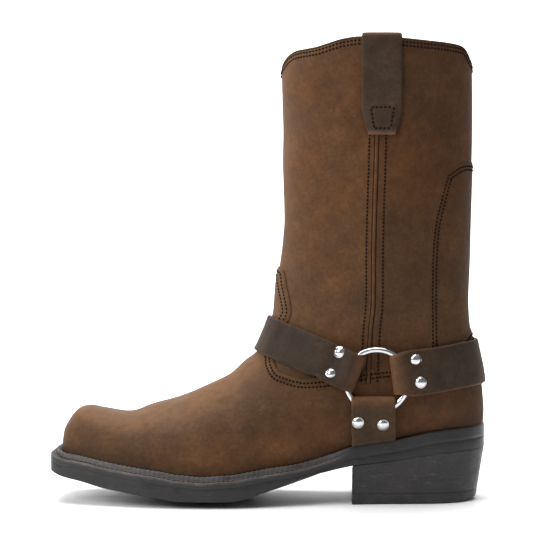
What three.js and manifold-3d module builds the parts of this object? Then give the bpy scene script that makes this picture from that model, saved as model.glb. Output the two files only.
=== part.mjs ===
// Left harness boot: square toe, storm welt, stacked heel, straight shaft and ringed straps.
// Millimetres, +Z up. The toe points to -X and the outer side faces -Y.
import * as THREE from "three";
import { mergeVertices } from "three/addons/utils/BufferGeometryUtils.js";
import Module from "manifold-3d";

const wasm = await Module();
wasm.setup();

// Driving sizes
const soleLength = 306; // toe edge to heel edge of the welt
const soleWidth = 112; // widest across the welt, at the ball
const toeSpring = 19.5; // rise of the underside at the toe
const heelHeight = 26.5; // floor to the outsole at the heel's front face
const outsoleThickness = 13; // at the ball
const edgeLift = 4.6; // how far the rolled edge of the outsole stands off the floor
const edgeRoll = 9; // width of that rolled edge
const groove = 0.8; // depth of the groove under the welt
const grooveHeight = 1.1;
const grooveSlope = 0.4; // height over which the groove runs out
const edgeBand = 1.2; // least upright band of the outsole's edge
const weltThickness = 4.6;
const beadHeight = 3.9; // raised bead of the storm welt
const beadWidth = 2.1;
const beadRoot = 1; // bead carried down into the welt
const weltChamfer = 0.6;
const insoleThickness = 4;
const capThickness = 7.5; // heel cap
const capLift = 1.6; // rise of the cap's back edge off the floor
const heelTaper = 2.6; // how far the heel's sides come in at the floor
const backTaper = 6.5; // how far its back comes in at the floor
const ballWidth = 100; // upper at the ball, under the vamp
const instepHeight = 80; // throat above the feather line
const shaftHeight = 218; // throat to the sides of the collar
const shaftWidth = 100;
const wall = 2.4; // leather and lining
const lastedEdge = 5.5; // depth of the upper's sections under the welt
const frontDip = 16.5; // collar lower at the front than at the sides
const backDip = 13.5; // collar lower at the back than at the sides
const vampStep = 1.5; // vamp and counter stand proud of the shaft
const backstayStep = 0.9;
const pipingStep = 1.0;
const pipingWidth = 2.4;
const strapThickness = 3;
const strapWidth = 27.4; // front strap
const backStrapWidth = 31;
const downStrapWidth = 30;
const loopWidth = 26; // a strap pinched to pass through its ring
const ringRadius = 21.1; // to the middle of the wire
const wireRadius = 2.1;
const ringStandOff = 3.1; // ring's plane off the vamp at its centre
const loopLeather = 2.3; // leather folded round the wire
const loopRise = 5.4; // how much higher a strap lies where it doubles round its ring
const loopSpread = 19; // length over which it comes down
const foldReach = 8; // length over which a fold joins its strap
const rivetRadius = 4;
const rivetHeight = 2.7;
const pullWidth = 27;
const pullEndWidth = 18;
const pullLength = 67;
const pullTaper = 16; // length over which the end narrows
const pullThickness = 2.7;
const gap = 0.3; // between pieces that meet
const tunnelGap = 0.4; // round a ring's wire
const rimRise = 18; // forms carried past the collar's edge
const footStep = 12; // between stations of the upper, along the foot and ankle
const shaftStep = 26; // the same along the straight shaft
const innerStep = 20; // the same two for its inside
const innerShaftStep = 44;
const beyond = 0.1 * soleLength; // cutting outlines carried past the boot
const below = -0.2 * soleLength; // and under it

// Places, as shares of the sole length from the toe, and heights over the floor
const toeX = -0.5 * soleLength;
const ringAlong = 0.741;
const ringHeight = 86.4;
const pullAlong = 0.751;
const breastAlong = 0.686; // front face of the heel
const capLiftAlong = 0.85; // where the heel cap starts to rise, as a share of the heel

// Sole seen from the side. spring and rise are shares of toeSpring and heelHeight, edge of
// edgeLift and depth of outsoleThickness.
const PROFILE = [
  { along: 0.0, spring: 1.0, rise: 0.0, edge: 0.7, depth: 0.61 },
  { along: 0.025, spring: 0.83, rise: 0.0, edge: 0.7, depth: 0.81 },
  { along: 0.075, spring: 0.646, rise: 0.0, edge: 0.8, depth: 0.94 },
  { along: 0.125, spring: 0.44, rise: 0.0, edge: 0.86, depth: 1.02 },
  { along: 0.19, spring: 0.25, rise: 0.0, edge: 0.97, depth: 1.06 },
  { along: 0.257, spring: 0.1, rise: 0.0, edge: 1.0, depth: 1.08 },
  { along: 0.3, spring: 0.0, rise: 0.0, edge: 1.0, depth: 1.07 },
  { along: 0.35, spring: 0.0, rise: 0.0, edge: 1.0, depth: 0.98 },
  { along: 0.4, spring: 0.0, rise: 0.0, edge: 1.0, depth: 1.05 },
  { along: 0.45, spring: 0.0, rise: 0.07, edge: 1.0, depth: 1.05 },
  { along: 0.5, spring: 0.0, rise: 0.245, edge: 0.9, depth: 0.885 },
  { along: 0.57, spring: 0.0, rise: 0.49, edge: 0.6, depth: 0.61 },
  { along: 0.635, spring: 0.0, rise: 0.755, edge: 0.35, depth: 0.48 },
  { along: 0.686, spring: 0.0, rise: 1.0, edge: 0.12, depth: 0.38 },
  { along: 0.78, spring: 0.0, rise: 1.15, edge: 0.0, depth: 0.42 },
  { along: 0.88, spring: 0.0, rise: 1.32, edge: 0.0, depth: 0.54 },
  { along: 1.0, spring: 0.0, rise: 1.43, edge: 0.0, depth: 0.58 },
];

// Welt seen from above: half widths to the outer and inner side as shares of soleWidth.
const PLAN = [
  { along: 0.0, outer: 0.16, inner: 0.232 },
  { along: 0.004, outer: 0.2, inner: 0.272 },
  { along: 0.013, outer: 0.232, inner: 0.304 },
  { along: 0.03, outer: 0.264, inner: 0.336 },
  { along: 0.06, outer: 0.308, inner: 0.368 },
  { along: 0.11, outer: 0.366, inner: 0.415 },
  { along: 0.17, outer: 0.42, inner: 0.455 },
  { along: 0.24, outer: 0.469, inner: 0.485 },
  { along: 0.3, outer: 0.493, inner: 0.484 },
  { along: 0.36, outer: 0.505, inner: 0.46 },
  { along: 0.42, outer: 0.5, inner: 0.416 },
  { along: 0.5, outer: 0.464, inner: 0.346 },
  { along: 0.58, outer: 0.4125, inner: 0.302 },
  { along: 0.66, outer: 0.366, inner: 0.296 },
  { along: 0.75, outer: 0.336, inner: 0.309 },
  { along: 0.85, outer: 0.327, inner: 0.321 },
  { along: 0.91, outer: 0.305, inner: 0.304 },
  { along: 0.955, outer: 0.25, inner: 0.25 },
  { along: 0.985, outer: 0.161, inner: 0.161 },
  { along: 0.997, outer: 0.08, inner: 0.08 },
  { along: 1.0, outer: 0.04, inner: 0.04 },
];

// Sections of the foot, in planes that stand on the line from base to top.
// topAt and baseAt are shares of soleLength, topUp of instepHeight over the feather line, and
// outer, inner and ridge of ballWidth. belly is where the section is widest, crown and heel are
// the powers of its upper and lower arc.
const FOOT = [
  { topAt: 0.028, topUp: 0.12, baseAt: 0.028, outer: 0.12, inner: 0.2, ridge: 0.04,
    belly: 0.5, crown: 2.6, heel: 3.2 },
  { topAt: 0.0307, topUp: 0.187, baseAt: 0.03, outer: 0.172, inner: 0.252, ridge: 0.04,
    belly: 0.5, crown: 2.6, heel: 3.3 },
  { topAt: 0.0386, topUp: 0.25, baseAt: 0.0365, outer: 0.212, inner: 0.292, ridge: 0.04,
    belly: 0.5, crown: 2.6, heel: 3.4 },
  { topAt: 0.0572, topUp: 0.345, baseAt: 0.052, outer: 0.26, inner: 0.33, ridge: 0.04,
    belly: 0.5, crown: 2.6, heel: 3.6 },
  { topAt: 0.0745, topUp: 0.375, baseAt: 0.07, outer: 0.295, inner: 0.36, ridge: 0.042,
    belly: 0.49, crown: 2.5, heel: 3.6 },
  { topAt: 0.1105, topUp: 0.381, baseAt: 0.1075, outer: 0.345, inner: 0.4, ridge: 0.045,
    belly: 0.48, crown: 2.4, heel: 3.6 },
  { topAt: 0.1856, topUp: 0.404, baseAt: 0.187, outer: 0.423, inner: 0.46, ridge: 0.05,
    belly: 0.44, crown: 2.2, heel: 3.6 },
  { topAt: 0.2225, topUp: 0.476, baseAt: 0.228, outer: 0.455, inner: 0.48, ridge: 0.05,
    belly: 0.42, crown: 2.1, heel: 3.6 },
  { topAt: 0.297, topUp: 0.601, baseAt: 0.307, outer: 0.5, inner: 0.485, ridge: 0.05,
    belly: 0.39, crown: 2.0, heel: 3.5 },
  { topAt: 0.372, topUp: 0.734, baseAt: 0.39, outer: 0.515, inner: 0.45, ridge: 0.045,
    belly: 0.37, crown: 1.95, heel: 3.2 },
  { topAt: 0.409, topUp: 0.796, baseAt: 0.44, outer: 0.505, inner: 0.428, ridge: 0.04,
    belly: 0.36, crown: 1.9, heel: 3.0 },
  { topAt: 0.447, topUp: 0.905, baseAt: 0.515, outer: 0.475, inner: 0.41, ridge: 0.032,
    belly: 0.36, crown: 1.9, heel: 2.7 },
  { topAt: 0.4745, topUp: 0.97, baseAt: 0.6, outer: 0.44, inner: 0.395, ridge: 0.024,
    belly: 0.37, crown: 1.92, heel: 2.6 },
];

// Sections of heel and shaft. topUp is a share of shaftHeight over the throat, baseUp of the
// collar's height over the seat (null where the base is still under the foot), and outer, inner
// and ridge of shaftWidth.
const SHAFT = [
  { topAt: 0.4945, topUp: 0.055, baseAt: 0.69, baseUp: null, outer: 0.415, inner: 0.388, ridge: 0.012,
    belly: 0.38, crown: 1.95, heel: 2.6 },
  { topAt: 0.512, topUp: 0.1235, baseAt: 0.79, baseUp: null, outer: 0.405, inner: 0.39, ridge: 0.006,
    belly: 0.41, crown: 1.98, heel: 2.6 },
  { topAt: 0.517, topUp: 0.197, baseAt: 0.885, baseUp: null, outer: 0.405, inner: 0.397, ridge: 0,
    belly: 0.42, crown: 2.0, heel: 2.6 },
  { topAt: 0.519, topUp: 0.229, baseAt: 0.95, baseUp: null, outer: 0.41, inner: 0.405, ridge: 0,
    belly: 0.43, crown: 2.02, heel: 2.4 },
  { topAt: 0.521, topUp: 0.252, baseAt: 0.9846, baseUp: -0.031, outer: 0.415, inner: 0.41, ridge: 0,
    belly: 0.44, crown: 2.04, heel: 2.3 },
  { topAt: 0.5235, topUp: 0.277, baseAt: 0.9944, baseUp: 0.021, outer: 0.42, inner: 0.416, ridge: 0,
    belly: 0.45, crown: 2.06, heel: 2.2 },
  { topAt: 0.526, topUp: 0.302, baseAt: 0.9925, baseUp: 0.074, outer: 0.424, inner: 0.42, ridge: 0,
    belly: 0.46, crown: 2.08, heel: 2.15 },
  { topAt: 0.5295, topUp: 0.339, baseAt: 0.9863, baseUp: 0.134, outer: 0.43, inner: 0.428, ridge: 0,
    belly: 0.47, crown: 2.1, heel: 2.12 },
  { topAt: 0.5326, topUp: 0.3845, baseAt: 0.975, baseUp: 0.197, outer: 0.438, inner: 0.436, ridge: 0,
    belly: 0.48, crown: 2.12, heel: 2.12 },
  { topAt: 0.535, topUp: 0.435, baseAt: 0.9644, baseUp: 0.261, outer: 0.446, inner: 0.446, ridge: 0,
    belly: 0.49, crown: 2.14, heel: 2.12 },
  { topAt: 0.5346, topUp: 0.49, baseAt: 0.9614, baseUp: 0.3245, outer: 0.454, inner: 0.454, ridge: 0,
    belly: 0.5, crown: 2.15, heel: 2.13 },
  { topAt: 0.5333, topUp: 0.545, baseAt: 0.964, baseUp: 0.407, outer: 0.463, inner: 0.463, ridge: 0,
    belly: 0.5, crown: 2.15, heel: 2.14 },
  { topAt: 0.5317, topUp: 0.627, baseAt: 0.9673, baseUp: 0.545, outer: 0.476, inner: 0.476, ridge: 0,
    belly: 0.5, crown: 2.15, heel: 2.15 },
  { topAt: 0.5327, topUp: 0.728, baseAt: 0.9722, baseUp: 0.725, outer: 0.49, inner: 0.49, ridge: 0,
    belly: 0.5, crown: 2.15, heel: 2.15 },
  { topAt: 0.53, topUp: 0.856, baseAt: 0.9729, baseUp: 0.882, outer: 0.498, inner: 0.498, ridge: 0,
    belly: 0.5, crown: 2.15, heel: 2.15 },
  { topAt: 0.5288, topUp: 1.0, baseAt: 0.9719, baseUp: 1.0, outer: 0.5, inner: 0.5, ridge: 0,
    belly: 0.5, crown: 2.15, heel: 2.15 },
];

// Upper edge of vamp and counter from the tongue round to the back peak. up is a share of
// instepHeight over the feather line.
const VAMP_EDGE = [
  { along: 0.524, up: 1.705 },
  { along: 0.535, up: 1.66 },
  { along: 0.54, up: 1.535 },
  { along: 0.5503, up: 1.31 },
  { along: 0.54, up: 1.2 },
  { along: 0.516, up: 1.03 },
  { along: 0.511, up: 0.9 },
  { along: 0.52, up: 0.81 },
  { along: 0.539, up: 0.77 },
  { along: 0.5775, up: 0.7125 },
  { along: 0.64, up: 0.665 },
  { along: 0.704, up: 0.64 },
  { along: 0.769, up: 0.636 },
  { along: 0.829, up: 0.615 },
  { along: 0.878, up: 0.634 },
  { along: 0.9216, up: 0.7275 },
  { along: 0.9706, up: 0.845 },
];

// Front edge of the backstay panel from its top down. up is a share of the collar's height
// over the seat.
const BACKSTAY_EDGE = [
  { along: 0.973, up: 0.6875 },
  { along: 0.9458, up: 0.684 },
  { along: 0.926, up: 0.675 },
  { along: 0.9056, up: 0.659 },
  { along: 0.896, up: 0.647 },
  { along: 0.882, up: 0.594 },
  { along: 0.8654, up: 0.512 },
  { along: 0.86, up: 0.42 },
  { along: 0.859, up: 0.3 },
  { along: 0.86, up: 0.14 },
];

// Piped side seam from the pull strap down into the vamp, up as for the backstay.
const SEAM = [
  { along: 0.74, up: 0.7465 },
  { along: 0.734, up: 0.48 },
  { along: 0.7335, up: 0.32 },
  { along: 0.728, up: 0.25 },
  { along: 0.723, up: 0.13 },
];

// Straps: angle in the side view, offset of the centre line from the ring's centre, distance
// of the fold and of the far end from that centre, and two rivets as distance along and across.
const STRAPS = {
  front: {
    angle: 157.6,
    offset: -1.3,
    fold: 12.1,
    width: strapWidth,
    loop: loopWidth,
    end: 100,
    rivets: [
      { out: 30.4, side: -6 },
      { out: 30.2, side: 9.2 },
    ],
  },
  back: {
    angle: 7.2,
    offset: 2.0,
    fold: 10.5,
    width: backStrapWidth,
    loop: loopWidth,
    end: 96,
    rivets: [
      { out: 27.6, side: 9.0 },
      { out: 29.0, side: -6.6 },
    ],
  },
  down: {
    angle: -90,
    offset: -2.4,
    fold: 10.7,
    width: downStrapWidth,
    loop: 0.95 * downStrapWidth,
    end: 60,
    rivets: [
      { out: 28.2, side: -11 },
      { out: 29.2, side: 6.2 },
    ],
  },
};

// A column of a table at a place, by a cubic that never overshoots
function column(table, at, name) {
  const last = table.length - 1;
  let i = 0;
  while (i < last - 1 && table[i + 1].along < at) i++;
  const step = (k) => table[k + 1].along - table[k].along;
  const slope = (k) => (table[k + 1][name] - table[k][name]) / step(k);
  const tangent = (k) => {
    if (k === 0) return slope(0);
    if (k === last) return slope(last - 1);
    const a = slope(k - 1);
    const b = slope(k);
    return a * b <= 0 ? 0 : (2 * a * b) / (a + b);
  };
  const t = THREE.MathUtils.clamp((at - table[i].along) / step(i), 0, 1);
  const h = step(i);
  return (
    (2 * t ** 3 - 3 * t ** 2 + 1) * table[i][name] +
    (t ** 3 - 2 * t ** 2 + t) * h * tangent(i) +
    (3 * t ** 2 - 2 * t ** 3) * table[i + 1][name] +
    (t ** 3 - t ** 2) * h * tangent(i + 1)
  );
}

const xAt = (along) => toeX + along * soleLength;
const alongAt = (x) => (x - toeX) / soleLength;

// Heights of the sole's layers at a share of its length
function bottomZ(along) {
  return toeSpring * column(PROFILE, along, "spring") + heelHeight * column(PROFILE, along, "rise");
}
function outsoleTop(along) {
  return bottomZ(along) + outsoleThickness * column(PROFILE, along, "depth");
}
function weltTop(along) {
  return outsoleTop(along) + gap + weltThickness;
}
function featherZ(along) {
  return weltTop(along) + beadHeight;
}
const outerHalf = (along) => soleWidth * column(PLAN, along, "outer");
const innerHalf = (along) => soleWidth * column(PLAN, along, "inner");

const throatAlong = FOOT.at(-1).topAt;
const throatZ = featherZ(throatAlong) + instepHeight * FOOT.at(-1).topUp;
const collarZ = throatZ + shaftHeight;
const seatZ = featherZ(1);
const tuck = beadHeight + weltThickness + lastedEdge; // depth under the feather line

// Rows of the upper in millimetres, with knot as the distance run along top and base
function upperRows() {
  const rows = [];
  for (const r of [...FOOT, ...SHAFT]) {
    const foot = FOOT.includes(r);
    const under = foot || r.baseUp === null;
    const scale = foot ? ballWidth : shaftWidth;
    rows.push({
      topX: xAt(r.topAt),
      topZ: foot ? featherZ(r.topAt) + instepHeight * r.topUp : throatZ + shaftHeight * r.topUp,
      baseX: xAt(r.baseAt),
      baseZ: under ? featherZ(r.baseAt) - tuck : seatZ + (collarZ - seatZ) * r.baseUp,
      outer: scale * r.outer,
      inner: scale * r.inner,
      ridge: scale * r.ridge,
      belly: r.belly,
      crown: r.crown,
      heel: r.heel,
    });
  }
  let knot = 0;
  rows.forEach((r, i) => {
    if (i > 0) {
      const q = rows[i - 1];
      const top = Math.hypot(r.topX - q.topX, r.topZ - q.topZ);
      const base = Math.hypot(r.baseX - q.baseX, r.baseZ - q.baseZ);
      knot += 0.5 * (top + base);
    }
    r.knot = knot;
  });
  return rows;
}
const ROWS = upperRows();
const lastKnot = ROWS.at(-1).knot;
const rimKnot = ROWS.at(-2).knot; // above it the sections lean into the collar's edge

// The upper's section at a knot, by a cubic through its neighbours
function section(at) {
  const last = ROWS.length - 1;
  let i = 0;
  while (i < last - 1 && ROWS[i + 1].knot < at) i++;
  const h = ROWS[i + 1].knot - ROWS[i].knot;
  const t = (at - ROWS[i].knot) / h;
  const out = {};
  for (const name of Object.keys(ROWS[0])) {
    const slope = (k) => (ROWS[k + 1][name] - ROWS[k][name]) / (ROWS[k + 1].knot - ROWS[k].knot);
    const tangent = (k) => {
      if (k === 0) return slope(0);
      if (k === last) return slope(last - 1);
      const before = ROWS[k].knot - ROWS[k - 1].knot;
      const after = ROWS[k + 1].knot - ROWS[k].knot;
      return (slope(k - 1) * after + slope(k) * before) / (before + after);
    };
    out[name] =
      (2 * t ** 3 - 3 * t ** 2 + 1) * ROWS[i][name] +
      (t ** 3 - 2 * t ** 2 + t) * h * tangent(i) +
      (3 * t ** 2 - 2 * t ** 3) * ROWS[i + 1][name] +
      (t ** 3 - t ** 2) * h * tangent(i + 1);
  }
  return out;
}

// How far the collar's edge lies under its sides, turn being 90 degrees at the front
function collarDrop(turn) {
  const front = Math.max(0, Math.sin(turn));
  const back = Math.max(0, -Math.sin(turn));
  return frontDip * (0.43 * front + 0.57 * front ** 10) + backDip * (0.3 * back + 0.7 * back ** 20);
}

// A point of the upper's outer face. turn runs from the outer side (0) over the top (90 degrees)
// and the inner side (180) to the base (270).
function skin(at, turn) {
  const s = section(at);
  const run = new THREE.Vector3(s.topX - s.baseX, 0, s.topZ - s.baseZ);
  const length = run.length();
  run.normalize();
  const c = Math.cos(turn);
  const u = Math.sin(turn);
  const power = 2 / (u > 0 ? s.crown : s.heel);
  const reach = (u > 0 ? (1 - s.belly) * length : s.belly * length) * Math.abs(u) ** power;
  const half = c > 0 ? s.outer + s.ridge : s.inner - s.ridge;
  const p = s.belly * length + Math.sign(u) * reach;
  const y = s.ridge - Math.sign(c) * half * Math.abs(c) ** power;
  const lean = THREE.MathUtils.smoothstep(at, rimKnot, lastKnot);
  return new THREE.Vector3(s.baseX + run.x * p, y, s.baseZ + run.z * p - lean * collarDrop(turn));
}

// The outward normal of that face
function skinNormal(at, turn) {
  const a = skin(Math.min(at + 0.6, lastKnot), turn).sub(skin(Math.max(at - 0.6, 0), turn));
  const b = skin(at, turn + 0.03).sub(skin(at, turn - 0.03));
  return b.cross(a).normalize().negate();
}

// Knots of the stations and turns round a station, for a fine and a coarse form
const straightRow = FOOT.length + 11; // first row of the straight shaft
function stations(step, straightStep) {
  const out = [0];
  for (let i = 1; i < ROWS.length; i++) {
    const span = ROWS[i].knot - ROWS[i - 1].knot;
    const many = Math.max(1, Math.round(span / (i >= straightRow ? straightStep : step)));
    for (let k = 1; k <= many; k++) out.push(ROWS[i - 1].knot + (span * k) / many);
  }
  return out;
}
const FINE = { knots: stations(footStep, shaftStep), turns: 32 };
const COARSE = { knots: stations(innerStep, innerShaftStep), turns: 24 };

// A three.js geometry as a solid, and back as a named mesh
function solidOf(geometry) {
  const bare = geometry.index ? geometry.clone() : geometry;
  bare.deleteAttribute("normal");
  bare.deleteAttribute("uv");
  const merged = mergeVertices(bare, 1e-4);
  const made = new wasm.Manifold(
    new wasm.Mesh({
      numProp: 3,
      vertProperties: new Float32Array(merged.attributes.position.array),
      triVerts: new Uint32Array(merged.index.array),
    }),
  );
  return made;
}
const boot = new THREE.Group();
function place(name, solid, material) {
  const m = solid.getMesh();
  const count = m.numProp;
  const points = new Float32Array((m.vertProperties.length / count) * 3);
  for (let i = 0; i < points.length / 3; i++) {
    points.set(m.vertProperties.subarray(i * count, i * count + 3), i * 3);
  }
  const geometry = new THREE.BufferGeometry();
  geometry.setAttribute("position", new THREE.BufferAttribute(points, 3));
  geometry.setIndex(new THREE.BufferAttribute(new Uint32Array(m.triVerts), 1));
  geometry.computeVertexNormals();
  const mesh = new THREE.Mesh(geometry, material);
  mesh.name = name;
  boot.add(mesh);
  return mesh;
}

// A closed body through rings of equal count, with a fan over each end
function loft(rings) {
  const many = rings[0].length;
  const points = rings.flat();
  for (const ring of [rings[0], rings.at(-1)]) {
    const middle = new THREE.Vector3();
    ring.forEach((p) => middle.add(p));
    points.push(middle.divideScalar(many));
  }
  const index = [];
  for (let i = 0; i < rings.length - 1; i++) {
    for (let j = 0; j < many; j++) {
      const a = i * many + j;
      const b = i * many + ((j + 1) % many);
      index.push(a, b, a + many, b, b + many, a + many);
    }
  }
  const first = points.length - 2;
  const top = (rings.length - 1) * many;
  for (let j = 0; j < many; j++) {
    const k = (j + 1) % many;
    index.push(first, k, j, first + 1, top + j, top + k);
  }
  let volume = 0;
  for (let i = 0; i < index.length; i += 3) {
    const [a, b, c] = [points[index[i]], points[index[i + 1]], points[index[i + 2]]];
    volume += a.dot(b.clone().cross(c));
  }
  if (volume < 0) index.reverse();
  const geometry = new THREE.BufferGeometry().setFromPoints(points);
  geometry.setIndex(index);
  return solidOf(geometry);
}

// The upper's form grown by a distance, or by a function of the point, and carried past the
// collar by rise
function form(grid, grow, rise = 0) {
  const rings = grid.knots.map((at) => {
    const ring = [];
    for (let j = 0; j < grid.turns; j++) {
      const turn = (2 * Math.PI * (j + 0.5)) / grid.turns;
      const p = skin(at, turn);
      const d = typeof grow === "function" ? grow(p) : grow;
      ring.push(p.addScaledVector(skinNormal(at, turn), d));
    }
    return ring;
  });
  if (rise > 0) rings.push(rings.at(-1).map((p) => new THREE.Vector3(p.x, p.y, p.z + rise)));
  return loft(rings);
}

// A side view outline [x, z] carried across the boot from y0 to y1
const aside = 1.2 * soleWidth; // past the boot on either side
function prism(outline, y0 = -aside, y1 = aside) {
  const shape = new THREE.Shape(outline.map(([x, z]) => new THREE.Vector2(x, z)));
  const geometry = new THREE.ExtrudeGeometry(shape, { depth: y1 - y0, bevelEnabled: false });
  geometry.rotateX(Math.PI / 2);
  geometry.translate(0, y1, 0);
  return solidOf(geometry);
}

// Stations along the sole that all its layers share
const SOLE_STATIONS = [
  0, 0.004, 0.013, 0.03, 0.06, 0.11, 0.16, 0.205, 0.255, 0.3, 0.35, 0.4, 0.45, 0.5, 0.54, 0.58, 0.63,
  breastAlong, 0.75, 0.82, 0.88, 0.925, 0.955, 0.975, 0.988, 0.997, 1,
];

// A slab across the boot between two height functions of the share along
function slab(low, high) {
  const places = [-0.05, ...SOLE_STATIONS, 1.08];
  const under = places.map((along) => [xAt(along), low(along)]);
  const over = places.map((along) => [xAt(along), high(along)]);
  return prism([...under, ...over.reverse()]);
}

// Materials
const leather = new THREE.MeshStandardMaterial({ color: 0x6b4c33, roughness: 0.62 });
const strapLeather = new THREE.MeshStandardMaterial({ color: 0x4a3d31, roughness: 0.58 });
const lining = new THREE.MeshStandardMaterial({ color: 0xa58a66, roughness: 0.8 });
const rubber = new THREE.MeshStandardMaterial({ color: 0x242322, roughness: 0.6 });
const chrome = new THREE.MeshStandardMaterial({ color: 0xc9ccd0, roughness: 0.14, metalness: 1 });

// Outsole: cross sections with a rolled lower edge and a shallow groove under the welt
function outsoleRing(along) {
  const x = xAt(along);
  const top = outsoleTop(along);
  const low = bottomZ(along);
  const lift = edgeLift * column(PROFILE, along, "edge");
  const o = outerHalf(along);
  const n = innerHalf(along);
  const roll = Math.min(edgeRoll, 0.45 * Math.min(o, n));
  const shoulder = top - grooveHeight - grooveSlope;
  const side = (half, sign) => [
    [sign * (half - groove), top],
    [sign * (half - groove), top - grooveHeight],
    [sign * half, shoulder],
    [sign * half, Math.min(low + lift + edgeBand, shoulder - grooveSlope)],
    [sign * (half - 0.12 * roll), low + lift],
    [sign * (half - 0.55 * roll), low + 0.3 * lift],
    [sign * (half - roll), low],
  ];
  const ring = [...side(n, 1), ...side(o, -1).reverse()];
  return ring.map(([y, z]) => new THREE.Vector3(x, y, z));
}
place("outsole", loft(SOLE_STATIONS.map(outsoleRing)), rubber);

// Heel: block and cap, tapering downwards, with a small lift at the back of the cap
const HEEL_STATIONS = SOLE_STATIONS.filter((along) => along >= breastAlong);
const heelHalf = 0.33 * soleWidth; // about its half width
const heelTall = 1.3 * heelHeight; // about its height in the middle
function heelRing(level, heights) {
  const ring = [];
  const breast = xAt(breastAlong);
  const back = xAt(1);
  const point = (along, sign) => {
    const k = (along - breastAlong) / (1 - breastAlong);
    const half = sign < 0 ? outerHalf(along) : innerHalf(along);
    const x = breast + (back - breast) * k * (1 - ((1 - level) * backTaper) / (back - breast));
    const y = sign * half * (1 - ((1 - level) * heelTaper) / heelHalf);
    return new THREE.Vector3(x, y, heights(alongAt(x), k));
  };
  for (const along of HEEL_STATIONS) ring.push(point(along, -1));
  for (const along of [...HEEL_STATIONS].reverse()) ring.push(point(along, 1));
  return ring;
}
const blockTop = (along) => bottomZ(along) - gap;
const heelBlock = loft([
  heelRing((capThickness + gap) / heelTall, () => capThickness + gap),
  heelRing(1, blockTop),
]);
place("heel_block", heelBlock, rubber);
const heelCap = loft([
  heelRing(0, (along, k) => capLift * Math.max(0, (k - capLiftAlong) / (1 - capLiftAlong)) ** 2),
  heelRing(capThickness / heelTall, () => capThickness),
]);
place("heel_cap", heelCap, rubber);

// Upper: outer form with raised panels, less the inner form and all below the sole's top
const vampLine = VAMP_EDGE.map((r) => [xAt(r.along), featherZ(r.along) + instepHeight * r.up]);
const farFront = toeX - beyond;
const farBack = xAt(1) + beyond;
const vampOutline = [
  [farFront, vampLine[0][1]],
  ...vampLine,
  [farBack, vampLine.at(-1)[1]],
  [farBack, below],
  [farFront, below],
];
const seatUp = (up) => seatZ + (collarZ - seatZ) * up;
const stayLine = BACKSTAY_EDGE.map((r) => [xAt(r.along), seatUp(r.up)]);
const stayOutline = [[farBack, stayLine[0][1]], ...stayLine, [farBack, stayLine.at(-1)[1]]];
const seamLine = SEAM.map((r) => [xAt(r.along), seatUp(r.up)]);
const seamOutline = [
  ...seamLine.map(([x, z]) => [x - 0.5 * pipingWidth, z]),
  ...seamLine.map(([x, z]) => [x + 0.5 * pipingWidth, z]).reverse(),
];
const skinForm = form(FINE, 0);
const vampForm = form(FINE, vampStep);
const overVamp = form(FINE, vampStep + gap);
const underSole = slab(() => below, (along) => outsoleTop(along) + gap);
const upper = skinForm
  .add(vampForm.intersect(prism(vampOutline)))
  .add(form(FINE, backstayStep).intersect(prism(stayOutline)))
  .add(form(FINE, pipingStep).intersect(prism(seamOutline)))
  .subtract(form(COARSE, -wall, rimRise))
  .subtract(underSole);
place("upper", upper, leather);

// Insole inside the upper
const bedLow = (along) => outsoleTop(along) + gap;
const bed = slab(bedLow, (along) => bedLow(along) + insoleThickness);
place("insole", form(COARSE, -wall - gap).intersect(bed), lining);

// Welt: a strip on the outsole with a bead against the upper
function weltRing(along) {
  const x = xAt(along);
  const low = outsoleTop(along) + gap;
  const high = weltTop(along);
  const o = outerHalf(along);
  const n = innerHalf(along);
  const ring = [
    [n, low],
    [n, high - weltChamfer],
    [n - weltChamfer, high],
    [-o + weltChamfer, high],
    [-o, high - weltChamfer],
    [-o, low],
  ];
  return ring.map(([y, z]) => new THREE.Vector3(x, y, z));
}
const beadForm = form(FINE, vampStep + gap + beadWidth);
const bead = beadForm.intersect(slab((along) => weltTop(along) - beadRoot, featherZ));
const welt = loft(SOLE_STATIONS.map(weltRing)).add(bead).subtract(overVamp);
place("welt", welt, rubber);

// Where a side view point lies on the upper: the point and its outward normal
function onSide(x, z, side) {
  let best = { at: 0, turn: 0, far: Infinity };
  const start = side < 0 ? 0 : Math.PI;
  const look = (at, turn) => {
    const p = skin(THREE.MathUtils.clamp(at, 0, lastKnot), turn);
    const far = Math.hypot(p.x - x, p.z - z);
    if (far < best.far) best = { at, turn, far };
  };
  for (let i = 0; i <= 80; i++) {
    for (let j = -14; j <= 14; j++) look((lastKnot * i) / 80, start + j * 0.1);
  }
  for (let reach = 0.5; reach > 1e-4; reach *= 0.6) {
    const { at, turn } = best;
    for (const [i, j] of [[1, 0], [-1, 0], [0, 1], [0, -1]]) look(at + i * 8 * reach, turn + j * 0.1 * reach);
  }
  return { point: skin(best.at, best.turn), normal: skinNormal(best.at, best.turn) };
}

// Rings, flat against the ankle
const ringX = xAt(ringAlong);
const rings = { outer: -1, inner: 1 };
const ringFrames = {};
for (const [name, side] of Object.entries(rings)) {
  const seat = onSide(ringX, ringHeight, side);
  const normal = seat.normal;
  const centre = seat.point.clone().addScaledVector(normal, vampStep + ringStandOff);
  const geometry = new THREE.TorusGeometry(ringRadius, wireRadius, 8, 26);
  const turn = new THREE.Quaternion().setFromUnitVectors(new THREE.Vector3(0, 0, 1), normal);
  geometry.applyQuaternion(turn);
  geometry.translate(centre.x, centre.y, centre.z);
  place(name + "_ring", solidOf(geometry), chrome);
  const tunnel = new THREE.TorusGeometry(ringRadius, wireRadius + tunnelGap, 8, 26);
  tunnel.applyQuaternion(turn);
  tunnel.translate(centre.x, centre.y, centre.z);
  ringFrames[name] = { centre, normal, side, tunnel: solidOf(tunnel) };
}

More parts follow.
